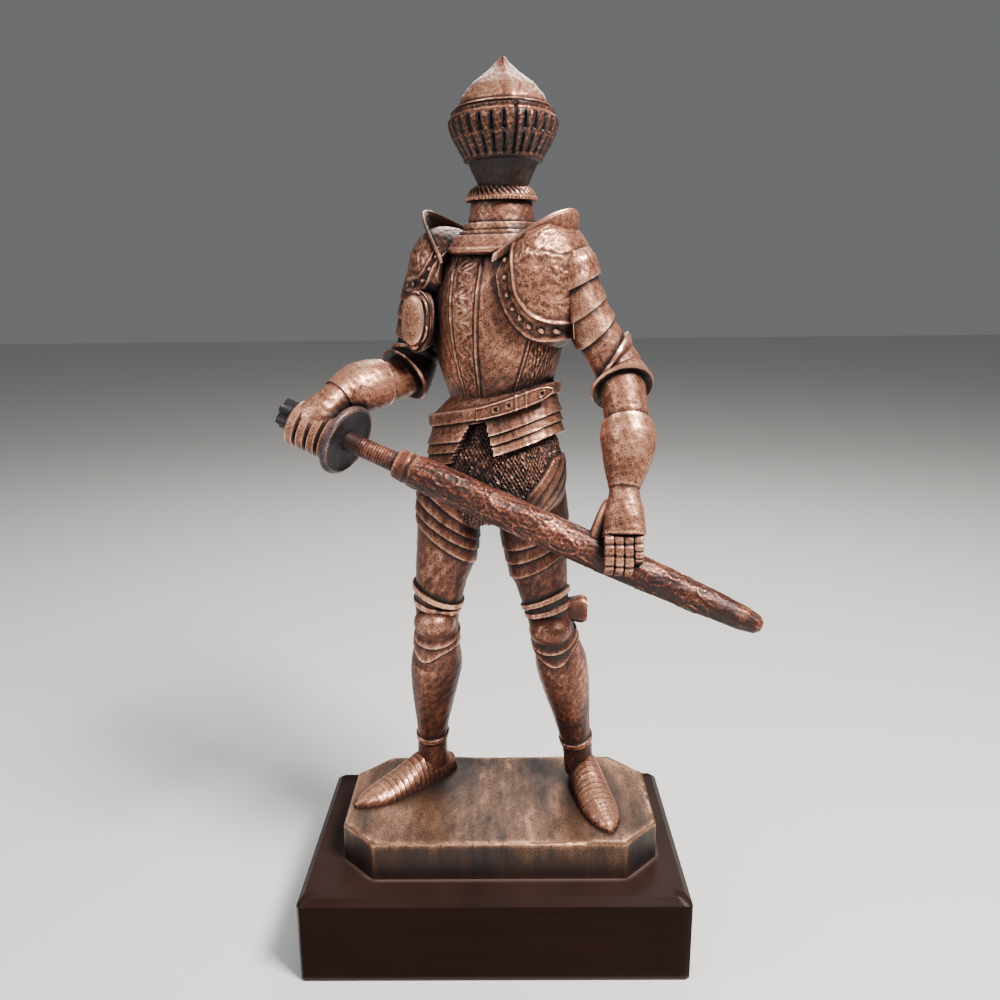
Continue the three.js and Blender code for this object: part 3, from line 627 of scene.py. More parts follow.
# %% Shoulder domes
def pauldron_point(shell, side, u, a):
    """A point on the dome and its place on the plate: how far it is out, its depth and height."""
    out, front, back, bottom, top = np.moveaxis(shell(u), -1, 0)
    high = np.where(np.sin(a) > 0, top - SHELL_MIDDLE, SHELL_MIDDLE - bottom)
    z, y = oval(a, high, front, back, 2.25)
    return side * out, y, SHELL_MIDDLE + z


def pauldron_grids(shell, outer, inner, side, reach, rise, rivets):
    """The dome with two mouldings, rivets in the sunk band between them, and scrolls inside. All
    are drawn by across and height, as the front shows them."""
    u, a = grid(130, 240)
    x, y, z = pauldron_point(shell, side, u, a)
    points = chest(x, y, z)
    out = np.abs(x) + 0 * z
    t = np.linspace(0, 1, 150)
    outer_line, inner_line = outer(t), inner(t)
    middle = (outer_line + inner_line) / 2
    band = strokes(out, z, [middle], 6.5)
    relief = 4.2 * strokes(out, z, [outer_line], 2.8) + 3.0 * strokes(out, z, [inner_line], 2.0)
    relief = relief - 1.8 * band
    seats = (outer(np.linspace(0.1, 0.9, rivets)) * 0.55 + inner(np.linspace(0.1, 0.9, rivets)) * 0.45)
    relief = relief + 4.2 * dots(out, z, seats, 3.4)
    nearest = np.argmin(np.abs(inner_line[:, 1][:, None] - z.ravel()[None]), 0)
    cross = inner_line[:, 0][nearest].reshape(z.shape)
    within = step_up(out - cross, 5, 4) * step_up(z, 698, 8)
    worn = 0.6 + 0.4 * grain(out, z, 0 * z, 15, 6)
    relief = relief + within * (1.2 * worn * strokes(out, z, DOME_SCROLLS, 1.8) - 0.3)
    return [raised(points, relief + cast_grain(points, 9, 0.4, 5 + side)), wing_grid(side, reach, rise)]


def wing_grid(side, reach, rise):
    """A sheet five units thick: round the section, up one face and down the other."""
    u, a = grid(48, 48)
    out, back, low, high = np.moveaxis(WING(u), -1, 0)
    share = 0.5 - 0.5 * np.cos(a)
    top_out, high = out + 3 + reach * np.sin(np.pi * u), high + rise * np.sin(np.pi * u)
    thick = 2.6 * np.sign(np.sin(a)) * np.abs(np.sin(a)) ** 0.35
    ribs = 0.7 * np.abs(np.sin(u * 60)) * (share > 0.08) * (share < 0.9) * np.sign(thick)
    x = out + (top_out - out) * share + thick * 0.9 + ribs
    return chest(side * x, back - 0.6 * ribs, low + (high - low) * share)


left_dome = pauldron_grids(LEFT_SHELL, LEFT_OUTER, LEFT_INNER, 1, 0, 0, 8)
right_dome = pauldron_grids(RIGHT_SHELL, RIGHT_OUTER, RIGHT_INNER, -1, 14, 10, 5)
mesh_piece("left_pauldron", left_dome)
mesh_piece("right_pauldron", right_dome)

# %% [markdown]
# ## Besagew
# A small dish hangs before the right armpit and covers the gap there. It is made as a limb is: rows
# along a short line, whose last ones run inwards over the dish's face.

# %% Besagew
BESAGEW = limb([
    [-70, 24, 690, 12, 24], [-86, 6, 690, 22, 37], [-91, 0, 691, 24, 39], [-97, -9, 692, 17, 30],
], np.array([0, 0, 1.0]))


# A boss in the middle and six round it. They are placed by the share of the grid's rows, and only
# the last few rows reach the face, so they swell the dish's side and its face stays plain.
BOSSES = [(0.0, 0.0)] + [(0.5 * math.sin(t), 0.56 * math.cos(t)) for t in round_turn(6)]


def besagew_grid():
    """A low oval dish on a stalk: the limb's rows run from the chest over its rim to its middle, with
    a height added by the share of rows: 5 x bosses, less 1.2 past share 0.72, and a rim there."""
    profile = [
        [0, 0], [0.33, 0], [0.53, 1], [0.61, 0], [0.67, -3], [0.9, 0], [0.96, -1], [0.98, -8],
        [1, -16.9],
    ]
    rows = refined(profile, 0.008)
    a = round_turn(120)
    points = BESAGEW(rows[:, 0, None], a[None], rows[:, 1, None])
    share = np.linspace(0, 1, len(rows))[:, None]
    out = (1 - share) / (1 - 0.72)
    disc = step_up(share, 0.72, 0.01)
    bosses = dots(out * np.sin(a), out * np.cos(a), BOSSES, 0.20)
    rim = ridge(share, 0.70, 0.012)
    return raised(points, 5.0 * bosses * disc - 1.2 * disc + 1.6 * rim)


mesh_piece("besagew", [besagew_grid()])

# %% [markdown]
# ## Arms
# An arm is a tube round a smooth line, and its armour is a profile along that line: a small step
# out for each lame, a flare for the elbow guard, and a bell for the gauntlet's cuff. The upper part
# of the right arm lies in the shoulder's shade, so its finish is taken down a little there.

# %% Lines and profiles of the arms
LEFT_ARM = limb([
    [100, -46, 772, 25, 28], [110, -48, 728, 27, 31], [126, -50, 688, 28, 31], [146, -52, 655, 29, 30],
    [160, -57, 628, 27, 28], [166, -68, 602, 27, 28], [169, -80, 572, 27, 28], [170, -94, 545, 25, 26],
    [166, -108, 515, 20, 21], [163, -119, 494, 17, 17], [162, -133, 468, 22, 15], [161, -145, 444, 24, 12],
], facing(10))
LEFT_ARM_ROWS = [
    [0, -12], [0.006, -3, 0, -3], [0.03, 3.5, 2, -4], [0.077, 5, 4, -5], [0.081, 1, 4, -5],
    [0.145, 2.5, 5, -5], [0.149, 0.5, 5, -5], [0.207, 2.5, 7, -5], [0.212, -1, 7, -5],
    [0.296, -1, 4, -16], [0.301, 5.5, 4, -17], [0.315, 6.5, 4, -17], [0.336, 3, 2, -14],
    [0.376, 5, -6, -9], [0.425, 12.5, -14, -4], [0.434, 11, -14, -4], [0.421, 2, -10, -4],
    [0.49, 0, -4, 0], [0.563, 0, -8, 0], [0.565, 5, -8, 0], [0.614, 9, -2, 0], [0.687, 8],
    [0.808, 3], [0.816, 1], [0.99, 2], [1, 0],
]
RIGHT_ARM = limb([
    [-78, 78, 772, 26, 28], [-86, 79, 728, 28, 30], [-94, 78, 690, 29, 30], [-101, 73, 650, 28, 28],
    [-110, 61, 624, 28, 28], [-127, 40, 612, 27, 27], [-147, 18, 609, 27, 27], [-168, -4, 606, 27, 26],
    [-186, -20, 600, 23, 22], [-201, -34, 590, 21, 20], [-217, -48, 575, 25, 18], [-228, -58, 557, 26, 13],
], facing(-10, 0.8))
RIGHT_ARM_ROWS = [
    [0.05, 3], [0.127, 5, 5], [0.131, 3, 5], [0.184, 5, 6], [0.188, 2, 6], [0.237, 4, 8], [0.241, 0, 8],
    [0.274, 0], [0.278, 6], [0.295, 7], [0.319, 4], [0.36, 6, 4], [0.405, 13, 8], [0.413, 11, 8],
    [0.401, 1, 8], [0.466, 0], [0.538, 0], [0.54, 5], [0.589, 7], [0.679, 7], [0.77, 4], [0.775, 2],
    [0.98, 1], [1, -2],
]


print("profile rows of the arms:", len(LEFT_ARM_ROWS), len(RIGHT_ARM_ROWS))


# %% Both arms
def armour_grid(surface, profile, columns=80, step=0.006, seed=0, leaf_lines=()):
    """A limb in its armour: refined profile rows of place, growth, lean, tilt and peak. Leaf lines are
    drawn on its first plate, by the distance round it and 480 x the place along it."""
    rows = refined([list(row) + [0] * (5 - len(row)) for row in profile], step)
    a = round_turn(columns)
    t, grow, lean, tilt, peak = (rows[:, k, None] for k in range(5))
    points = surface(t, a[None], grow, lean, tilt, peak)
    around = signed(a)[None] * 28
    leaves = 0
    if leaf_lines:
        leaves = 1.1 * strokes(around, t * 480, leaf_lines, 1.6) * step_up(-t, -0.072, 0.002)
    return raised(points, leaves + cast_grain(points, 9, 0.35, seed))


def fold_grid():
    """The turned-out front edge of the arm's lames: a leaf, its section an ellipse, tallest midway."""
    u, a = grid(70, 48)
    across, foot, up = 97 + 8 * u, -68 + 6 * u * u, 745 - 75 * u
    proud = 8 + 6 * np.sin(np.pi * u) ** 0.8
    return figure(across + 2.6 * np.sin(a), foot + 3 - proud * np.cos(a), up + 0 * a)


# The dome's scrolls run on over the top of the arm.
CAP_SCROLLS = [
    scroll(around, along, rng.uniform(15, 24), rng.uniform(0, 180), rng.uniform(1.8, 2.6), True)
    for along in (8, 19, 30) for around in np.arange(-30, 60, 12)
]
left_arm = armour_grid(LEFT_ARM, LEFT_ARM_ROWS, columns=130, seed=11, leaf_lines=CAP_SCROLLS)
mesh_piece("left_arm", [left_arm, fold_grid()])
right_arm = armour_grid(RIGHT_ARM, RIGHT_ARM_ROWS, seed=12)
mesh_piece("right_arm", [right_arm], shade=lambda place: 0.09 * step_up(up_of(place), 640, 25))

# %% [markdown]
# ## Sheathed sword
# The blade lies on a straight line, so the sheath is a profile of radii along it. Its leather is
# carved like bark, with loose scrolls laid over it.

# %% The blade's line
GUARD_PLACE = np.array([-183.0, -49.0, 545.0])
BLADE_LINE = unit(np.array([0.905, -0.215, -0.372]))
BLADE_SIDE = unit(np.cross([0, 0, 1.0], BLADE_LINE))
BLADE_UP = np.cross(BLADE_LINE, BLADE_SIDE)
BLADE = [
    [-70, 9], [4, 13], [14, 12.5], [70, 13], [74, 19], [88, 20.5], [92, 19.5], [97, 21.5],
    [320, 21.5], [400, 20.5], [480, 18], [536, 15], [555, 11.5], [561, 6],
]


def on_blade(along, side, up):
    """A point beside the blade's line: guard place + along x line + side x side + up x up."""
    along, side, up = np.broadcast_arrays(along, side, up)
    p = GUARD_PLACE + along[..., None] * BLADE_LINE + side[..., None] * BLADE_SIDE
    p = p + up[..., None] * BLADE_UP
    return figure(p[..., 0], p[..., 1], p[..., 2])


def turned_on_blade(profile, columns, step):
    """Rows of place and radius, each made a round ring across the blade's line."""
    rows = refined(profile, step)
    a = round_turn(columns)
    return rows[:, 0, None], rows[:, 1, None], a[None]


print("the blade's line points to", BLADE_LINE.round(2))


# %% Sheath
def sheath_grid():
    """Round rings with bark between thin scrolls that wander along the sheath."""
    along, radius, a = turned_on_blade(BLADE, 110, 1.6)
    points = on_blade(along, radius * np.sin(a), radius * np.cos(a))
    girth = np.degrees(a) * 0.36
    bark = grain(along * 0.30, np.cos(a) * 21, np.sin(a) * 21, 7, 21)
    bark = bark + 0.6 * grain(along, radius * a, 0, 4, 22)
    rng = np.random.default_rng(8)
    lines = [
        scroll(level, (17 * n) % 130, rng.uniform(22, 38), rng.uniform(-40, 40),
               rng.uniform(1.6, 2.6), n % 2 == 0)
        for n, level in enumerate(np.arange(100, 552, 7.5))
    ]
    calm = 1 - 0.6 * step_up(along, 500, 40)
    carved = calm * step_up(along, 98, 6) * (0.8 * strokes(along, girth, lines, 1.2) + 0.5 * bark)
    ropes = 0.8 * np.sin(1.7 * along) * step_up(-along, -72, 4) * step_up(along, 18, 4)
    return raised(points, carved + ropes * 0.5)


def sheath_shade(place):
    """Painted shade: a little darker all over, and more towards the tip, by the distance from the guard."""
    here = np.stack([place[:, 0] / UNIT, place[:, 1] / UNIT, up_of(place)], -1)
    return 0.03 + 0.05 * step_up((here - GUARD_PLACE) @ BLADE_LINE, 450, 60)


mesh_piece("sheath", [sheath_grid()], shade=sheath_shade)

# %% [markdown]
# ## Guard, pommel and right hand
# All three are turned about the blade's line. The guard is a disc with a raised rim, the pommel is
# lobed like a flower, and the closed hand is a stack of rings, one for each finger.

# %% Guard, pommel and right hand
def guard_grid():
    """A round plate with a raised rim, sheared along the blade by 0.22 of its height."""
    profile = [
        [-3, 12], [-3, 40], [-4.5, 43], [-3, 46], [-1, 47], [2, 47], [4, 46], [5, 43], [3.5, 40],
        [3.5, 12],
    ]
    along, radius, a = turned_on_blade(profile, 140, 0.4)
    return on_blade(along + 0.22 * radius * np.sin(a), radius * np.sin(a), radius * np.cos(a))


def pommel_grid():
    """Rings whose radius swells six times round: one plus 0.22 x cosine of six angles."""
    along, radius, a = turned_on_blade([[-92, 13], [-90, 17], [-76, 17], [-70, 11]], 120, 0.6)
    lobed = radius * (1 + 0.22 * np.cos(6 * a))
    return on_blade(along, lobed * np.sin(a), lobed * np.cos(a))


def fist_grid():
    """A ring for each finger, deeper in the middle than at the knuckle lines between."""
    rows = [[-75, 18, 18]]
    for n in range(4):
        start = -71 + 15.5 * n
        rows += [[start, 25, 26], [start + 3, 29.5, 30.5], [start + 12.5, 29.5, 30.5]]
    rows = refined(rows + [[-8, 22, 22]], 0.8)
    a = round_turn(110)
    along, high, deep = (rows[:, k, None] for k in range(3))
    return on_blade(along, -4 + deep * np.sin(a), -4 + high * np.cos(a))


mesh_piece("guard", [guard_grid(), pommel_grid()])
mesh_piece("right_fist", [fist_grid()])

# %% [markdown]
# ## Left hand
# Four gauntlet fingers close over the sheath. Each is the same bent strip, cut into plates by
# grooves and moved sideways by one finger's width, and the thumb goes round the other side.

# %% Fingers
FINGER_SIDE = smooth([
    [-132, 456], [-148, 450], [-157, 436], [-161, 418], [-158, 404], [-149, 396], [-138, 398], [-136, 430],
    [-132, 456],
])


def finger_grid(start, raised_tip):
    """A bent strip: its outline seen from the side, carried across one finger's width and rounded."""
    u, a = grid(40, 90)
    back, up = np.moveaxis(FINGER_SIDE(a / TAU), -1, 0)
    swell = np.sqrt(np.clip(1 - (2 * u - 1) ** 4, 0.02, 1))
    middle_back, middle_up = -146, 425
    back = middle_back + (back - middle_back) * (0.78 + 0.22 * swell)
    up = middle_up + (up - middle_up) * (0.9 + 0.1 * swell)
    curled = np.clip((440 - up) / 40, 0, 1)
    points = figure(start + 11.4 * u, back, up + raised_tip * curled)
    plates = sum(ridge(up, level, 1.5) for level in (447, 436, 423, 410))
    return raised(points, -1.5 * plates * (back < -140))


def rod_grid(line, radius, columns=40, rows=60):
    """A round tube along a smooth line of points, with its ends drawn in."""
    at = smooth(line)
    u, a = grid(rows, columns)
    here = at(u)
    along = unit(at(u + 0.01) - at(u - 0.01))
    side = unit(np.cross(along, [0.2, 0.9, 0.3]))
    other = np.cross(along, side)
    size = radius * np.sqrt(np.clip(1 - (2 * u - 1) ** 6, 0.02, 1))
    p = here + side * (size * np.cos(a))[..., None] + other * (size * np.sin(a))[..., None]
    return figure(p[..., 0], p[..., 1], p[..., 2])


fingers = [finger_grid(137 + 11.6 * n, 12 if n == 3 else -1.5 * n) for n in range(4)]
thumb = rod_grid([[148, -118, 482], [138, -122, 460], [130, -124, 440], [124, -124, 424]], 9)
mesh_piece("left_fingers", [*fingers, thumb])

# %% [markdown]
# ## Mail skirt
# The mail is a soft oval skirt. Real rings would be thousands of small bodies, so they are a woven
# pattern of bosses on one grid, made a little ragged as worn casting moulds leave them.

# %% Mail
hips = segment(5, 14, 28, 0.2)
MAIL = smooth([
    [580, 60, 43, 42], [556, 72, 52, 49], [530, 84, 60, 56], [500, 91, 66, 62], [475, 94, 67, 64],
    [447, 91, 62, 62], [430, 80, 50, 52], [422, 64, 38, 40],
])


def mail_grid():
    """Ovals by height. The rings are the product of two sine waves, every other row moved half a
    ring. On the left hip a folded flap covers the mail: a raised field with slanting folds."""
    u, a = grid(110, 440)
    up, wide, front, back = np.moveaxis(MAIL(u), -1, 0)
    x, y = oval(a, wide, front, back, 2.2)
    points = hips(x, y, up)
    rings = np.sin(110 * a + np.pi * np.floor(up / 4.6)) * np.sin(TAU * up / 4.6)
    angle = np.degrees(signed(a))
    slant = up - 462 - (angle - 52) * 1.35
    flap = step_up(-slant, 0, 3) * step_up(-up, -500, 5) * step_up(angle, 46, 3) * step_up(-angle, -150, 6)
    folds = 1.6 * np.abs(np.sin(slant * 0.16)) + 1.2 * ridge(slant, 0, 3)
    ragged = cast_grain(points, 5, 0.9, 33) + cast_grain(points, 14, 1.2, 31)
    return raised(points, (1 - flap) * (1.3 * rings + ragged) + flap * (5.0 + folds))


mesh_piece("mail", [mail_grid()])

# %% [markdown]
# ## Fauld and belt
# The fauld's lames overlap down to the hips, so its profile is a flight of steps. In front an
# upturned V is cut out of them, and the belt's loose end lies over the waist.

# %% Fauld and belt
FAULD = [
    [600, 62, 46, 44], [584, 82, 58, 54], [582, 92, 66, 61], [567, 92, 66, 61], [566, 87, 62, 57],
    [556, 90, 64, 59], [543, 95, 69, 63], [542, 92, 66, 60], [530, 96, 70, 64], [529, 93, 67, 61],
    [516, 98, 72, 66],
]


def fauld_grid():
    """Stepped profile rings, lifted on the viewer's right by 15 x sine squared. The V is made by
    drawing the lames in under the mail where they lie inside it."""
    rows = refined(FAULD, 1.2)
    a = round_turn(260)
    up, wide, front, back = (rows[:, k, None] for k in range(4))
    x, y = oval(a, wide, front, back, 2.2)
    z = up + 15 * np.maximum(np.sin(a), 0) ** 2
    left_edge = 0 - (562 - z) * 0.63
    right_edge = 21 + (562 - z) * 0.32
    cut = (np.cos(a) > 0) & (z < 562) & (x > left_edge) & (x < right_edge)
    draw = np.where(cut, 0.80, 1.0)
    points = hips(x * draw, y * draw, z)
    return raised(points, np.where(cut, 0, cast_grain(points, 9, 0.35, 32)))


# Round the belt: angle, inner and outer growth over the waist, and half the strap's height.
TONGUE = smooth([
    [0.1, -1, 6, 8.5], [0.5, 0, 8, 9.5], [0.95, 4, 12, 9.5], [1.12, 9, 16, 7.5], [1.22, 12, 18, 3.5],
])


def tongue_grid():
    """The belt's loose end: a flat squared section carried round the waist. Eyelets are a ring with
    a sunk middle, and two bars cross the strap."""
    u, b = grid(180, 60)
    a, inner, outer, half = np.moveaxis(TONGUE(u), -1, 0)
    across, upright = (np.sign(w) * np.abs(w) ** 0.4 for w in (np.cos(b), np.sin(b)))
    grow = (inner + outer) / 2 + (outer - inner) / 2 * across
    x, y = oval(a, 88 + grow, 62 + grow, 57 + grow, 2.2)
    points = hips(x, y, 574 + half * upright + 15 * np.maximum(np.sin(a), 0) ** 2)
    height = 1.2 * ridge(np.abs(upright * half) - half, -1.6, 1.0)
    for place in (0.37, 0.56, 1.06):
        gap = np.hypot((a - place) * 84, half * upright)
        height = height + 1.5 * ridge(gap, 3.4, 1.0) - 2.6 * ridge(gap, 0, 1.8)
    for place in (0.67, 0.82):
        height = height + 1.4 * ridge((a - place) * 84, 0, 1.4)
    return raised(points, height * (across > 0))


mesh_piece("fauld", [fauld_grid(), tongue_grid()])

# %% [markdown]
# ## Legs
# Each leg is a tube like the arms, with slanting lames on the thigh, a rolled rim above the knee,
# a round knee guard, and a last lame that comes to a point on the shin.

# %% Lines and profiles of the legs
RIGHT_LEG = limb([
    [-42, 18, 500, 46, 50], [-57, 16, 442, 44, 48], [-63, 13, 392, 41, 44], [-70, 10, 350, 36, 39],
    [-76, 5, 312, 32, 34], [-78, 6, 275, 29, 30], [-80, 14, 242, 31, 33], [-82, 24, 208, 36, 38],
    [-86, 32, 172, 33, 36], [-90, 42, 132, 28, 30], [-93, 51, 95, 23, 25], [-95, 58, 60, 21, 24],
    [-96, 61, 20, 21, 26],
], facing(30))
LEFT_LEG = limb([
    [48, 18, 500, 50, 50], [57, 13, 430, 47, 48], [62, 8, 386, 43, 44], [68, 0, 345, 37, 39],
    [75, -7, 308, 31, 33], [82, -8, 272, 30, 31], [89, 0, 245, 32, 33], [97, 10, 212, 36, 38],
    [104, 18, 176, 34, 36], [111, 27, 138, 29, 31], [118, 36, 95, 24, 25], [124, 43, 60, 22, 24],
    [127, 48, 20, 21, 26],
], facing(12))


def leg_rows(lames, slant, drop):
    """The thigh's slanting lames, the cuisse's rim, narrow lames above and below the knee, the lowest
    one pointed, and a ring round the ankle. The drop lowers a thigh lame in front."""
    thigh = [[0.04, 0, drop / 2, slant / 2]]
    for t in lames:
        thigh += [[t, 3, drop, slant], [t + 0.003, 1, drop, slant]]
    tilt = slant / 2
    rim = [[0.25, 0, 4, slant / 3]]
    rim += [[t, proud, 2, tilt] for t, proud in ((0.305, 0), (0.31, 4), (0.322, 4), (0.327, 0.5))]
    above = [[t, proud, 0, tilt / 2] for t, proud in ((0.34, 0), (0.345, 2.4), (0.357, 2.4), (0.359, 0))]
    below = [
        [0.44, 0, 4, 0], [0.456, 3.2, 7, 0], [0.459, 1.2, 7, 0, 0], [0.485, 2.8, 0, 0, 21],
        [0.49, 0, 0, 0, 21],
    ]
    shin = [[0.56, 0, 0, 0, 4], [0.7], [0.868, 0], [0.872, 2.2], [0.888, 2.2], [0.892, 0], [1]]
    return [*thigh, *rim, *above, *below, *shin]


print("profile rows of a leg:", len(leg_rows([0.1, 0.15], 0, 0)))

# %% [markdown]
# ## Knees
# The guard over each knee is a plain ellipsoid, which is what the hammered cup of a real one comes
# close to. The left one has a wing on its outer side as well.

# %% Knees and both legs
def knee_grid(across, back, up):
    """A round guard: an ellipsoid over the front of the knee."""
    u, a = grid(44, 72)
    swing = np.radians(-86 + 172 * u)
    x, y = 29 * np.cos(swing) * np.sin(a), -29 * np.cos(swing) * np.cos(a)
    return figure(across + x, back + y, up + 22 * np.sin(swing))


def knee_wing_grid():
    """The outer wing of the left knee guard: a heart-shaped block drawn sideways."""
    outline = smooth([
        [-1, -0.7], [-0.4, -1], [0.5, -0.9], [1, -0.2], [0.7, 0.5], [1, 0.9], [0, 1], [-1, 0.6],
        [-1, -0.7],
    ])
    size = smooth([[96, 14], [112, 17], [124, 19], [131, 15]])
    u, a = grid(28, 56)
    b, c = np.moveaxis(outline(a / TAU), -1, 0)
    out, half = np.moveaxis(size(u), -1, 0)
    return figure(out, -8 + 9 * b, 298 + half * c)


# The thigh lames' places along each leg, and the middles of the knee guards.
RIGHT_LAMES, LEFT_LAMES = [0.075, 0.103, 0.131, 0.16], [0.125, 0.165, 0.205]
RIGHT_KNEE, LEFT_KNEE = (-80, -14, 283), (79, -28, 277)
right_leg = armour_grid(RIGHT_LEG, leg_rows(RIGHT_LAMES, 25, -8), 84, 0.005, 41)
left_leg = armour_grid(LEFT_LEG, leg_rows(LEFT_LAMES, -12, 14), 84, 0.005, 42)
mesh_piece("right_leg", [right_leg, knee_grid(*RIGHT_KNEE)])
mesh_piece("left_leg", [left_leg, knee_grid(*LEFT_KNEE), knee_wing_grid()])

# %% [markdown]
# ## Sabatons
# A pointed shoe of overlapping lames: an arch carried from heel to toe, with a small step at each
# lame's edge.

# %% Sabatons
SABATON = smooth([
    [12, 24], [18, 38], [22, 50], [24, 44], [26, 32], [26, 23], [22, 18], [13, 13], [3, 7],
])
SABATON_PLACES = np.array([0, 0.1, 0.22, 0.36, 0.52, 0.68, 0.82, 0.93, 1])
LAMES_FROM, LAMES_TO, LAME_PITCH = 0.2, 0.7, 0.05
# Each foot's heel and toe: across and back.
RIGHT_FOOT = np.array([[-68.0, 86.0], [-201.0, -28.0]])
LEFT_FOOT = np.array([[127.0, 82.0], [161.0, -92.0]])


def sabaton_grid(foot, seed):
    """Arches along the line from heel to toe: half width x cosine, height x sine to the power 0.85.
    A sawtooth along the line makes the lames, and past them the toe cap stands a little proud."""
    heel, toe = foot
    length = np.linalg.norm(toe - heel)
    dx, dy = (toe - heel) / length
    u, a = grid(140, 64)
    knots = np.linspace(0, 1, len(SABATON_PLACES))
    half, tall = np.moveaxis(SABATON(np.interp(u, SABATON_PLACES, knots)), -1, 0)
    saw = ((u - LAMES_FROM) / LAME_PITCH) % 1
    toe_cap = 0.3 + 0.8 * step_up(u, LAMES_TO, 0.004)
    step = np.where((u > LAMES_FROM) & (u < LAMES_TO), 1.1 * (1 - saw), toe_cap)
    swing = a - np.pi / 2
    side = (half + step) * np.cos(swing)
    up = np.where(np.sin(swing) > 0, (tall + step) * np.abs(np.sin(swing)) ** 0.85, 4 * np.sin(swing))
    across = heel[0] + dx * length * u - dy * side
    back = heel[1] + dy * length * u + dx * side
    points = figure(across, back, up)
    return raised(points, cast_grain(points, 8, 0.3, seed))


mesh_piece("right_sabaton", [sabaton_grid(RIGHT_FOOT, 51)])
mesh_piece("left_sabaton", [sabaton_grid(LEFT_FOOT, 52)])

# %% [markdown]
# ## Ground and plinth
# Both are blocks with softened edges, and the cast one has a slightly uneven top. Their surface is
# a grid too: the columns go round the outline, and the rows climb the wall, turn the edge and close
# in over the top. Their sizes are in metres.

# %% Blocks
GROUND_WIDTH, GROUND_DEPTH, GROUND_CORNER = 0.1342, 0.0687, 0.0143
GROUND_MIDDLE = 0.0022
PLINTH_WIDTH, PLINTH_DEPTH, PLINTH_CORNER = 0.160, 0.096, 0.001
FACE_EDGE = 0.003


def block_outline(width, depth, corner, columns):
    """Points spaced evenly round a rectangle with cut corners, counterclockwise."""
    x, y = width / 2, depth / 2
    half = [[x, corner - y], [x, y - corner], [x - corner, y], [corner - x, y]]
    ring = np.array(half + [[-a, -b] for a, b in half] + half[:1])
    length = np.concatenate([[0], np.cumsum(np.linalg.norm(np.diff(ring, axis=0), axis=1))])
    s = np.arange(columns) * length[-1] / columns
    return np.stack([np.interp(s, length, ring[:, 0]), np.interp(s, length, ring[:, 1])], -1)


def block_grid(outline, profile, middle):
    """Profile rows of inset and height. Near the wall the outline is drawn in by the inset; further
    in, past the face's edge, it shrinks by one share each way, so that it closes on the middle."""
    inset, up = profile[:, 0, None, None], profile[:, 1, None]
    size = np.abs(outline).max(0)
    shrunk = 1 - np.maximum(inset - FACE_EDGE, 0) / (profile[:, 0].max() - FACE_EDGE)
    xy = outline[None] * (1 - np.minimum(inset, FACE_EDGE) / size) * shrunk
    return np.stack([xy[..., 0] + middle, xy[..., 1], up + 0 * xy[..., 0]], -1)


def spaced(rows, step):
    """Rows of inset and height with even ones between them, spaced by the distance between rows."""
    rows = np.array(rows, float)
    parts = [
        a + (b - a) * np.linspace(0, 1, max(int(np.linalg.norm(b - a) / step), 1), endpoint=False)[:, None]
        for a, b in zip(rows, rows[1:])
    ]
    return np.concatenate(parts + [rows[-1:]])


print("ground is", GROUND_WIDTH, "by", GROUND_DEPTH, "m, plinth", PLINTH_WIDTH, "by", PLINTH_DEPTH)


# %% Ground and plinth
def ground_grid():
    """An eight-sided block with a softened edge, whose top swells a little round the feet."""
    outline = block_outline(GROUND_WIDTH, GROUND_DEPTH, GROUND_CORNER, 380)
    low, high = PLINTH_TOP, GROUND_TOP
    profile = [[0.030, low], [0.0, low], [0.0004, high - 0.0006], [0.0011, high], [0.034, high]]
    points = block_grid(outline, spaced(profile, 0.0011), GROUND_MIDDLE)
    x, y, z = np.moveaxis(points, -1, 0)
    top = step_up(z, high - 0.0003, 0.0004)
    mm = (x * 1e3, y * 1e3, z * 1e3)
    rough = grain(*mm, 9, 61) * 0.00012 + grain(*mm, 3, 62) * 0.00006
    along = np.linspace(0, 1, 40)[:, None]
    lines = [heel + (toe - heel) * along for heel, toe in (RIGHT_FOOT, LEFT_FOOT)]
    swell = strokes(x / UNIT, y / UNIT, lines, 34)
    points[..., 2] += top * (swell * 0.0006 + rough)
    points[..., 2] = np.maximum(points[..., 2], low)
    return points


def plinth_grid():
    """A rectangular block with a chamfer round its top."""
    outline = block_outline(PLINTH_WIDTH, PLINTH_DEPTH, PLINTH_CORNER, 240)
    high = PLINTH_TOP
    profile = [[0.044, 0.0], [0.0006, 0.0], [0.0, 0.0006], [0.0, 0.0354], [0.0026, high], [0.045, high]]
    return block_grid(outline, spaced(profile, 0.0030), 0.0)


mesh_piece("ground", [ground_grid()])
mesh_piece("plinth_block", [plinth_grid()], "plinth")
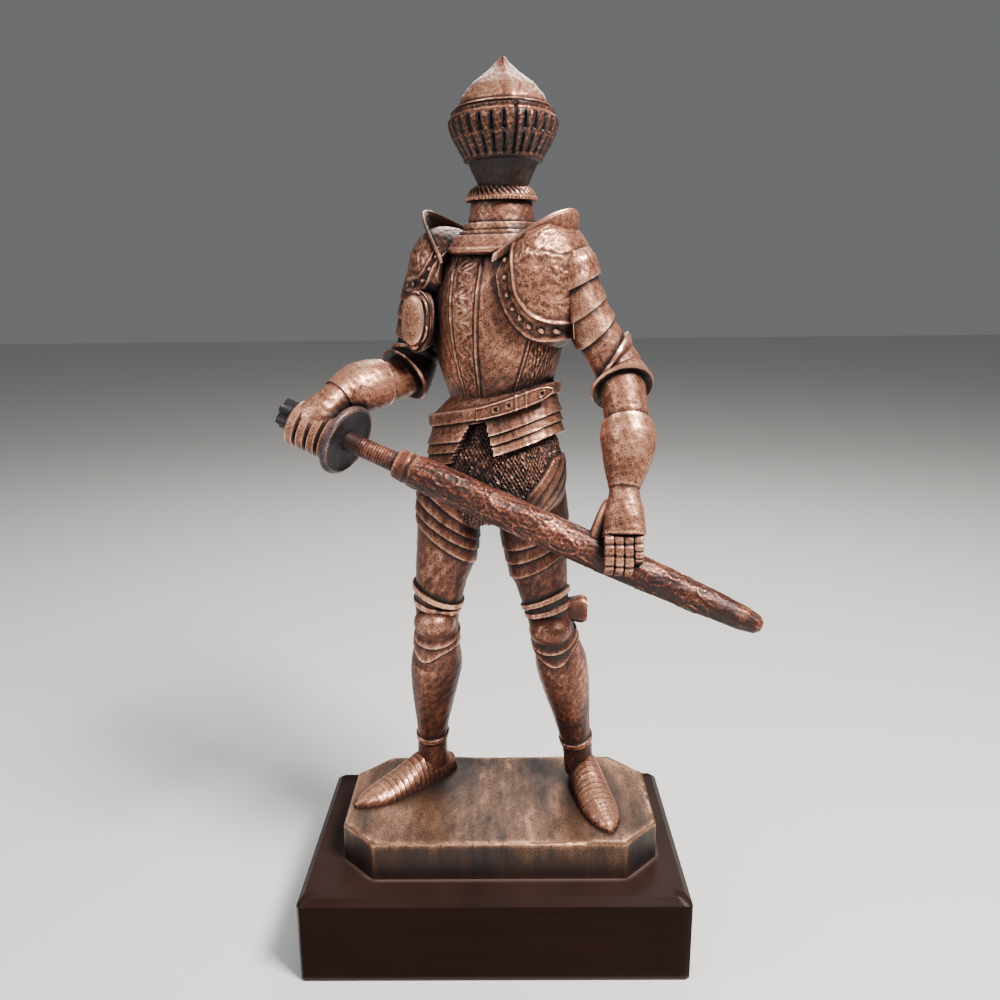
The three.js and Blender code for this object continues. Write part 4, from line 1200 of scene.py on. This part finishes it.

# %% [markdown]
# ## Antique copper
# The finish is built up as it was made: a dark brown patina all over, a warm copper rubbed back
# on whatever stands out, and black wax left in the hollows and in fine specks. The wear attribute
# says what stands out, less painted shade on some pieces. An occlusion node darkens the deep
# corners between plates, which is painted shade as well as wax, and faces that look up are
# lightened as painted light from above.

# %% Material helper
class Nodes:
    """A short way to add nodes to a material: each call makes nodes and links what it is given."""

    def __init__(self, name):
        self.material = bpy.data.materials.new(name)
        self.material.use_nodes = True
        self.tree = self.material.node_tree
        self.shader = self.tree.nodes["Principled BSDF"]

    def add(self, kind, inputs=None, **settings):
        node = self.tree.nodes.new(kind)
        for key, value in settings.items():
            setattr(node, key, value)
        for key, value in (inputs or {}).items():
            self.put(node.inputs[key], value)
        return node

    def put(self, socket, value):
        if isinstance(value, bpy.types.NodeSocket):
            self.tree.links.new(value, socket)
        else:
            socket.default_value = value

    def math(self, operation, a, b=0.0, clamp=False):
        return self.add("ShaderNodeMath", {0: a, 1: b}, operation=operation, use_clamp=clamp).outputs[0]

    def noise(self, scale, detail=2.0, roughness=0.5, stretch=None):
        where = self.add("ShaderNodeTexCoord").outputs["Object"]
        if stretch is not None:
            where = self.add("ShaderNodeMapping", {"Vector": where, "Scale": stretch}).outputs[0]
        inputs = {"Vector": where, "Scale": scale, "Detail": detail, "Roughness": roughness}
        return self.add("ShaderNodeTexNoise", inputs).outputs["Fac"]

    def corner(self, distance):
        return self.add("ShaderNodeAmbientOcclusion", {"Distance": distance}, samples=8).outputs["AO"]

    def upward(self):
        normal = self.add("ShaderNodeTexCoord").outputs["Normal"]
        return self.add("ShaderNodeSeparateXYZ", {0: normal}).outputs["Z"]

    def bump(self, height, strength, distance):
        inputs = {"Height": height, "Strength": strength, "Distance": distance}
        self.put(self.shader.inputs["Normal"], self.add("ShaderNodeBump", inputs).outputs["Normal"])

    def ramp(self, value, stops):
        node = self.add("ShaderNodeValToRGB", {"Fac": value})
        elements = node.color_ramp.elements
        while len(elements) < len(stops):
            elements.new(0.5)
        for element, (place, colour) in zip(elements, stops):
            element.position = place
            element.color = (*colour, 1.0) if len(colour) == 3 else colour
        return node.outputs["Color"]


print("material helper ready")


# %% Copper patina
def copper_patina(name, lift=0.0, patchy=0.8, stretch=None, painted_top_light=0.14,
                  dark=(0.008, 0.006, 0.008), brown=(0.060, 0.024, 0.016),
                  copper=(0.30, 0.118, 0.070), rubbed=(0.88, 0.465, 0.31)):
    """Tone = 0.6 + lift + 2.6 x wear + soft noise + top light x how far a face looks up, less the
    specks and darkened in corners. The wear carries painted shade on some pieces, the top light is
    painted light from above, and the darkening in corners is painted shade between plates, where dark
    wax lies as well. It is read through four colours. The broad noise has the strength patchy and may
    be drawn out along an axis by stretch."""
    n = Nodes(name)
    wear_and_shade = n.add("ShaderNodeAttribute", attribute_name="wear_and_shade").outputs["Fac"]
    corner = n.corner(0.012)
    broad = n.noise(60.0, 3.0, 0.6, stretch)
    blotch = n.noise(330.0, 4.0, 0.65, stretch)
    speck = n.noise(1700.0, 2.0, 0.6)
    specks = n.math("MULTIPLY", n.math("SUBTRACT", speck, 0.50, clamp=True), 2.5)
    tone = n.math("MULTIPLY", wear_and_shade, 2.6)
    tone = n.math("ADD", tone, n.math("MULTIPLY", n.math("SUBTRACT", broad, 0.5), patchy))
    tone = n.math("ADD", tone, n.math("MULTIPLY", n.math("SUBTRACT", blotch, 0.5), 0.55))
    tone = n.math("SUBTRACT", tone, specks)
    # Painted light: faces that look up are made lighter, as if lit from above.
    tone = n.math("ADD", tone, n.math("MULTIPLY", n.upward(), painted_top_light))
    tone = n.math("ADD", tone, 0.60 + lift)
    # Painted shade: the occlusion darkens corners and the gaps between plates, where dark wax lies as well.
    tone = n.math("MULTIPLY", tone, n.math("POWER", corner, 1.8), clamp=True)
    stops = [(0.06, dark), (0.34, brown), (0.60, copper), (0.95, rubbed)]
    n.put(n.shader.inputs["Base Color"], n.ramp(tone, stops))
    n.put(n.shader.inputs["Roughness"], n.math("SUBTRACT", 0.50, n.math("MULTIPLY", tone, 0.18)))
    n.put(n.shader.inputs["Metallic"], n.math("MULTIPLY", tone, 0.95, clamp=True))
    n.shader.inputs["Specular IOR Level"].default_value = 0.32
    n.bump(n.math("ADD", blotch, speck), 0.3, 0.0002)
    return n.material


copper = copper_patina("antique_copper")
print(copper.name, "has", len(copper.node_tree.nodes), "nodes")

# %% [markdown]
# ## One finish for each kind of piece
# The legs, the mail and the sheath are darker than the helmet, the chest and the arms. On the legs
# this is partly painted shade, since less light reaches them, and partly their browner patina. A
# finish changes the lift of the tone, how patchy it is, and the colours that it is read through.

# %% Finishes
dark_copper = copper_patina("dark_copper", lift=-0.16)
visor_copper = copper_patina("visor_copper", lift=-0.09)
# The legs' lower lift is partly painted shade, since less light reaches them, and partly a browner patina.
leg_copper = copper_patina("leg_copper", lift=-0.16, patchy=1.1, stretch=(1.0, 1.0, 0.4),
                           brown=(0.052, 0.018, 0.012), copper=(0.21, 0.078, 0.050))
sheath_copper = copper_patina("sheath_copper", lift=-0.17, patchy=0.9,
                              brown=(0.050, 0.016, 0.010), copper=(0.27, 0.090, 0.055))
sabaton_copper = copper_patina("sabaton_copper", lift=-0.02)
guard_copper = copper_patina("blued_copper", lift=-0.30,
                             brown=(0.04, 0.036, 0.045), copper=(0.14, 0.085, 0.075))
# The ground's top gets more painted light from above than the figure's.
ground_copper = copper_patina("ground_patina", lift=-0.30, patchy=1.3, stretch=(1.0, 0.3, 0.25),
                              painted_top_light=0.26, brown=(0.046, 0.023, 0.014),
                              copper=(0.16, 0.082, 0.048), rubbed=(0.50, 0.27, 0.17))
FINISHES = {
    "mail": dark_copper, "visor": visor_copper, "guard": guard_copper, "ground": ground_copper,
    "sheath": sheath_copper, "right_sabaton": sabaton_copper, "right_leg": leg_copper,
    "left_leg": leg_copper,
}
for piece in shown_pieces():
    if piece.type == "MESH" and not piece.data.materials:
        piece.data.materials.append(FINISHES.get(piece.name, copper))
print("finishes of copper:", 1 + len(set(FINISHES.values())))

# %% [markdown]
# ## Lacquered wood
# The plinth is lacquered almost black, with a red-brown warmth and a faint long grain under the
# gloss. Its top is lightened by a thin film that is painted sheen from the light above as well as
# thin dust, and dust has settled in the corner round the casting's foot.

# %% Lacquer
lacquer = Nodes("dark_lacquer")
streak = lacquer.noise(60.0, 4.0, 0.6, stretch=(0.35, 4.0, 4.0))
cloud = lacquer.noise(30.0, 2.0)
shade = lacquer.math("ADD", lacquer.math("MULTIPLY", streak, 0.6), lacquer.math("MULTIPLY", cloud, 0.4))
wood = lacquer.ramp(shade, [(0.3, (0.0055, 0.0014, 0.0010)), (0.7, (0.012, 0.0030, 0.0020))])
in_corner = lacquer.math("SUBTRACT", 0.76, lacquer.corner(0.005), clamp=True)
dust_and_sheen = lacquer.math("MULTIPLY", in_corner, 3.0, clamp=True)
# Painted sheen on the top: upward faces are lightened by a thin film, which also stands for thin dust.
on_top = lacquer.math("MAXIMUM", lacquer.upward(), 0.0)
top_dust_and_sheen = lacquer.math("MULTIPLY", on_top, lacquer.math("ADD", 0.03, lacquer.math("MULTIPLY", cloud, 0.20)))
dust_and_sheen = lacquer.math("ADD", dust_and_sheen, top_dust_and_sheen, clamp=True)
dust_and_sheen_colour = (0.105, 0.070, 0.062, 1.0)
dust_and_sheen_mix = lacquer.add("ShaderNodeMix", {"Factor": dust_and_sheen, "A": wood, "B": dust_and_sheen_colour}, data_type="RGBA")
lacquer.put(lacquer.shader.inputs["Base Color"], dust_and_sheen_mix.outputs["Result"])
gloss = lacquer.math("ADD", 0.26, lacquer.math("MULTIPLY", cloud, 0.16))
lacquer.put(lacquer.shader.inputs["Roughness"], gloss)
lacquer.shader.inputs["Specular IOR Level"].default_value = 0.05
lacquer.bump(streak, 0.25, 0.0003)
plinth_materials = bpy.data.objects["plinth_block"].data.materials
plinth_materials.clear()
plinth_materials.append(lacquer.material)
print("plinth lacquered")

# %% [markdown]
# ## Camera, floor and light
# The camera has the photograph's view: from a little above the belt, looking down at the plinth's
# top. The light is soft and comes mostly from the upper right, with a pale floor under all.

# %% Camera
CAMERA_PLACE = (0.0066, -0.3465, 0.2793)
PITCH, YAW, ROLL = math.radians(14.14), math.radians(-0.49), math.radians(-0.58)


def set_down(side, top, back, place):
    """A 4 x 4 matrix: its columns are an object's own side, top and back directions and its place."""
    matrix = np.eye(4)
    matrix[:3] = np.stack([side, top, back, place], 1)
    return Matrix(matrix.tolist())


look = np.array([math.sin(YAW) * math.cos(PITCH), math.cos(YAW) * math.cos(PITCH), -math.sin(PITCH)])
level = np.array([math.cos(YAW), -math.sin(YAW), 0.0])
above = np.cross(level, look)
right = math.cos(ROLL) * level + math.sin(ROLL) * above
upright = -math.sin(ROLL) * level + math.cos(ROLL) * above
camera_data = bpy.data.cameras.new("camera")
camera_data.lens = 31.3
camera_data.sensor_width = 36.0
camera = new_object("camera", camera_data)
camera.matrix_world = set_down(right, upright, -look, CAMERA_PLACE)
bpy.context.scene.camera = camera
print("camera at", CAMERA_PLACE)

# %% Floor and lights
floor_mesh = bpy.data.meshes.new("floor")
floor_mesh.from_pydata([(-4, -4, 0), (4, -4, 0), (4, 4, 0), (-4, 4, 0)], [], [(0, 1, 2, 3)])
floor = new_object("floor", floor_mesh)
pale = Nodes("pale_floor")
pale.shader.inputs["Base Color"].default_value = (0.72, 0.71, 0.69, 1.0)
pale.shader.inputs["Roughness"].default_value = 0.7
floor_mesh.materials.append(pale.material)


FIGURE_MIDDLE = np.array([0.0, 0.0, 0.2])


def softbox(name, place, size, power, tint=(1.0, 1.0, 1.0)):
    """A square area light at a place, turned to face the middle of the figure."""
    data = bpy.data.lights.new(name, "AREA")
    data.size = size
    data.energy = power
    data.color = tint
    light = new_object(name, data)
    away = np.array(place) - FIGURE_MIDDLE
    side = unit(np.cross([0.0, 0.0, 1.0], away))
    top = unit(np.cross(away, side))
    light.matrix_world = set_down(side, top, unit(away), place)


softbox("window", (0.40, -0.36, 0.86), 0.24, 25.0, (1.0, 0.95, 0.90))
softbox("fill", (-0.62, -0.35, 0.62), 0.5, 3.2, (0.95, 0.97, 1.0))
softbox("rim", (0.05, 0.6, 0.7), 0.4, 3.5)
world = bpy.data.worlds.new("studio")
bpy.context.scene.world = world
world.use_nodes = True
background = world.node_tree.nodes["Background"]
background.inputs["Color"].default_value = (0.86, 0.88, 0.9, 1.0)
background.inputs["Strength"].default_value = 0.18
print("lights placed")
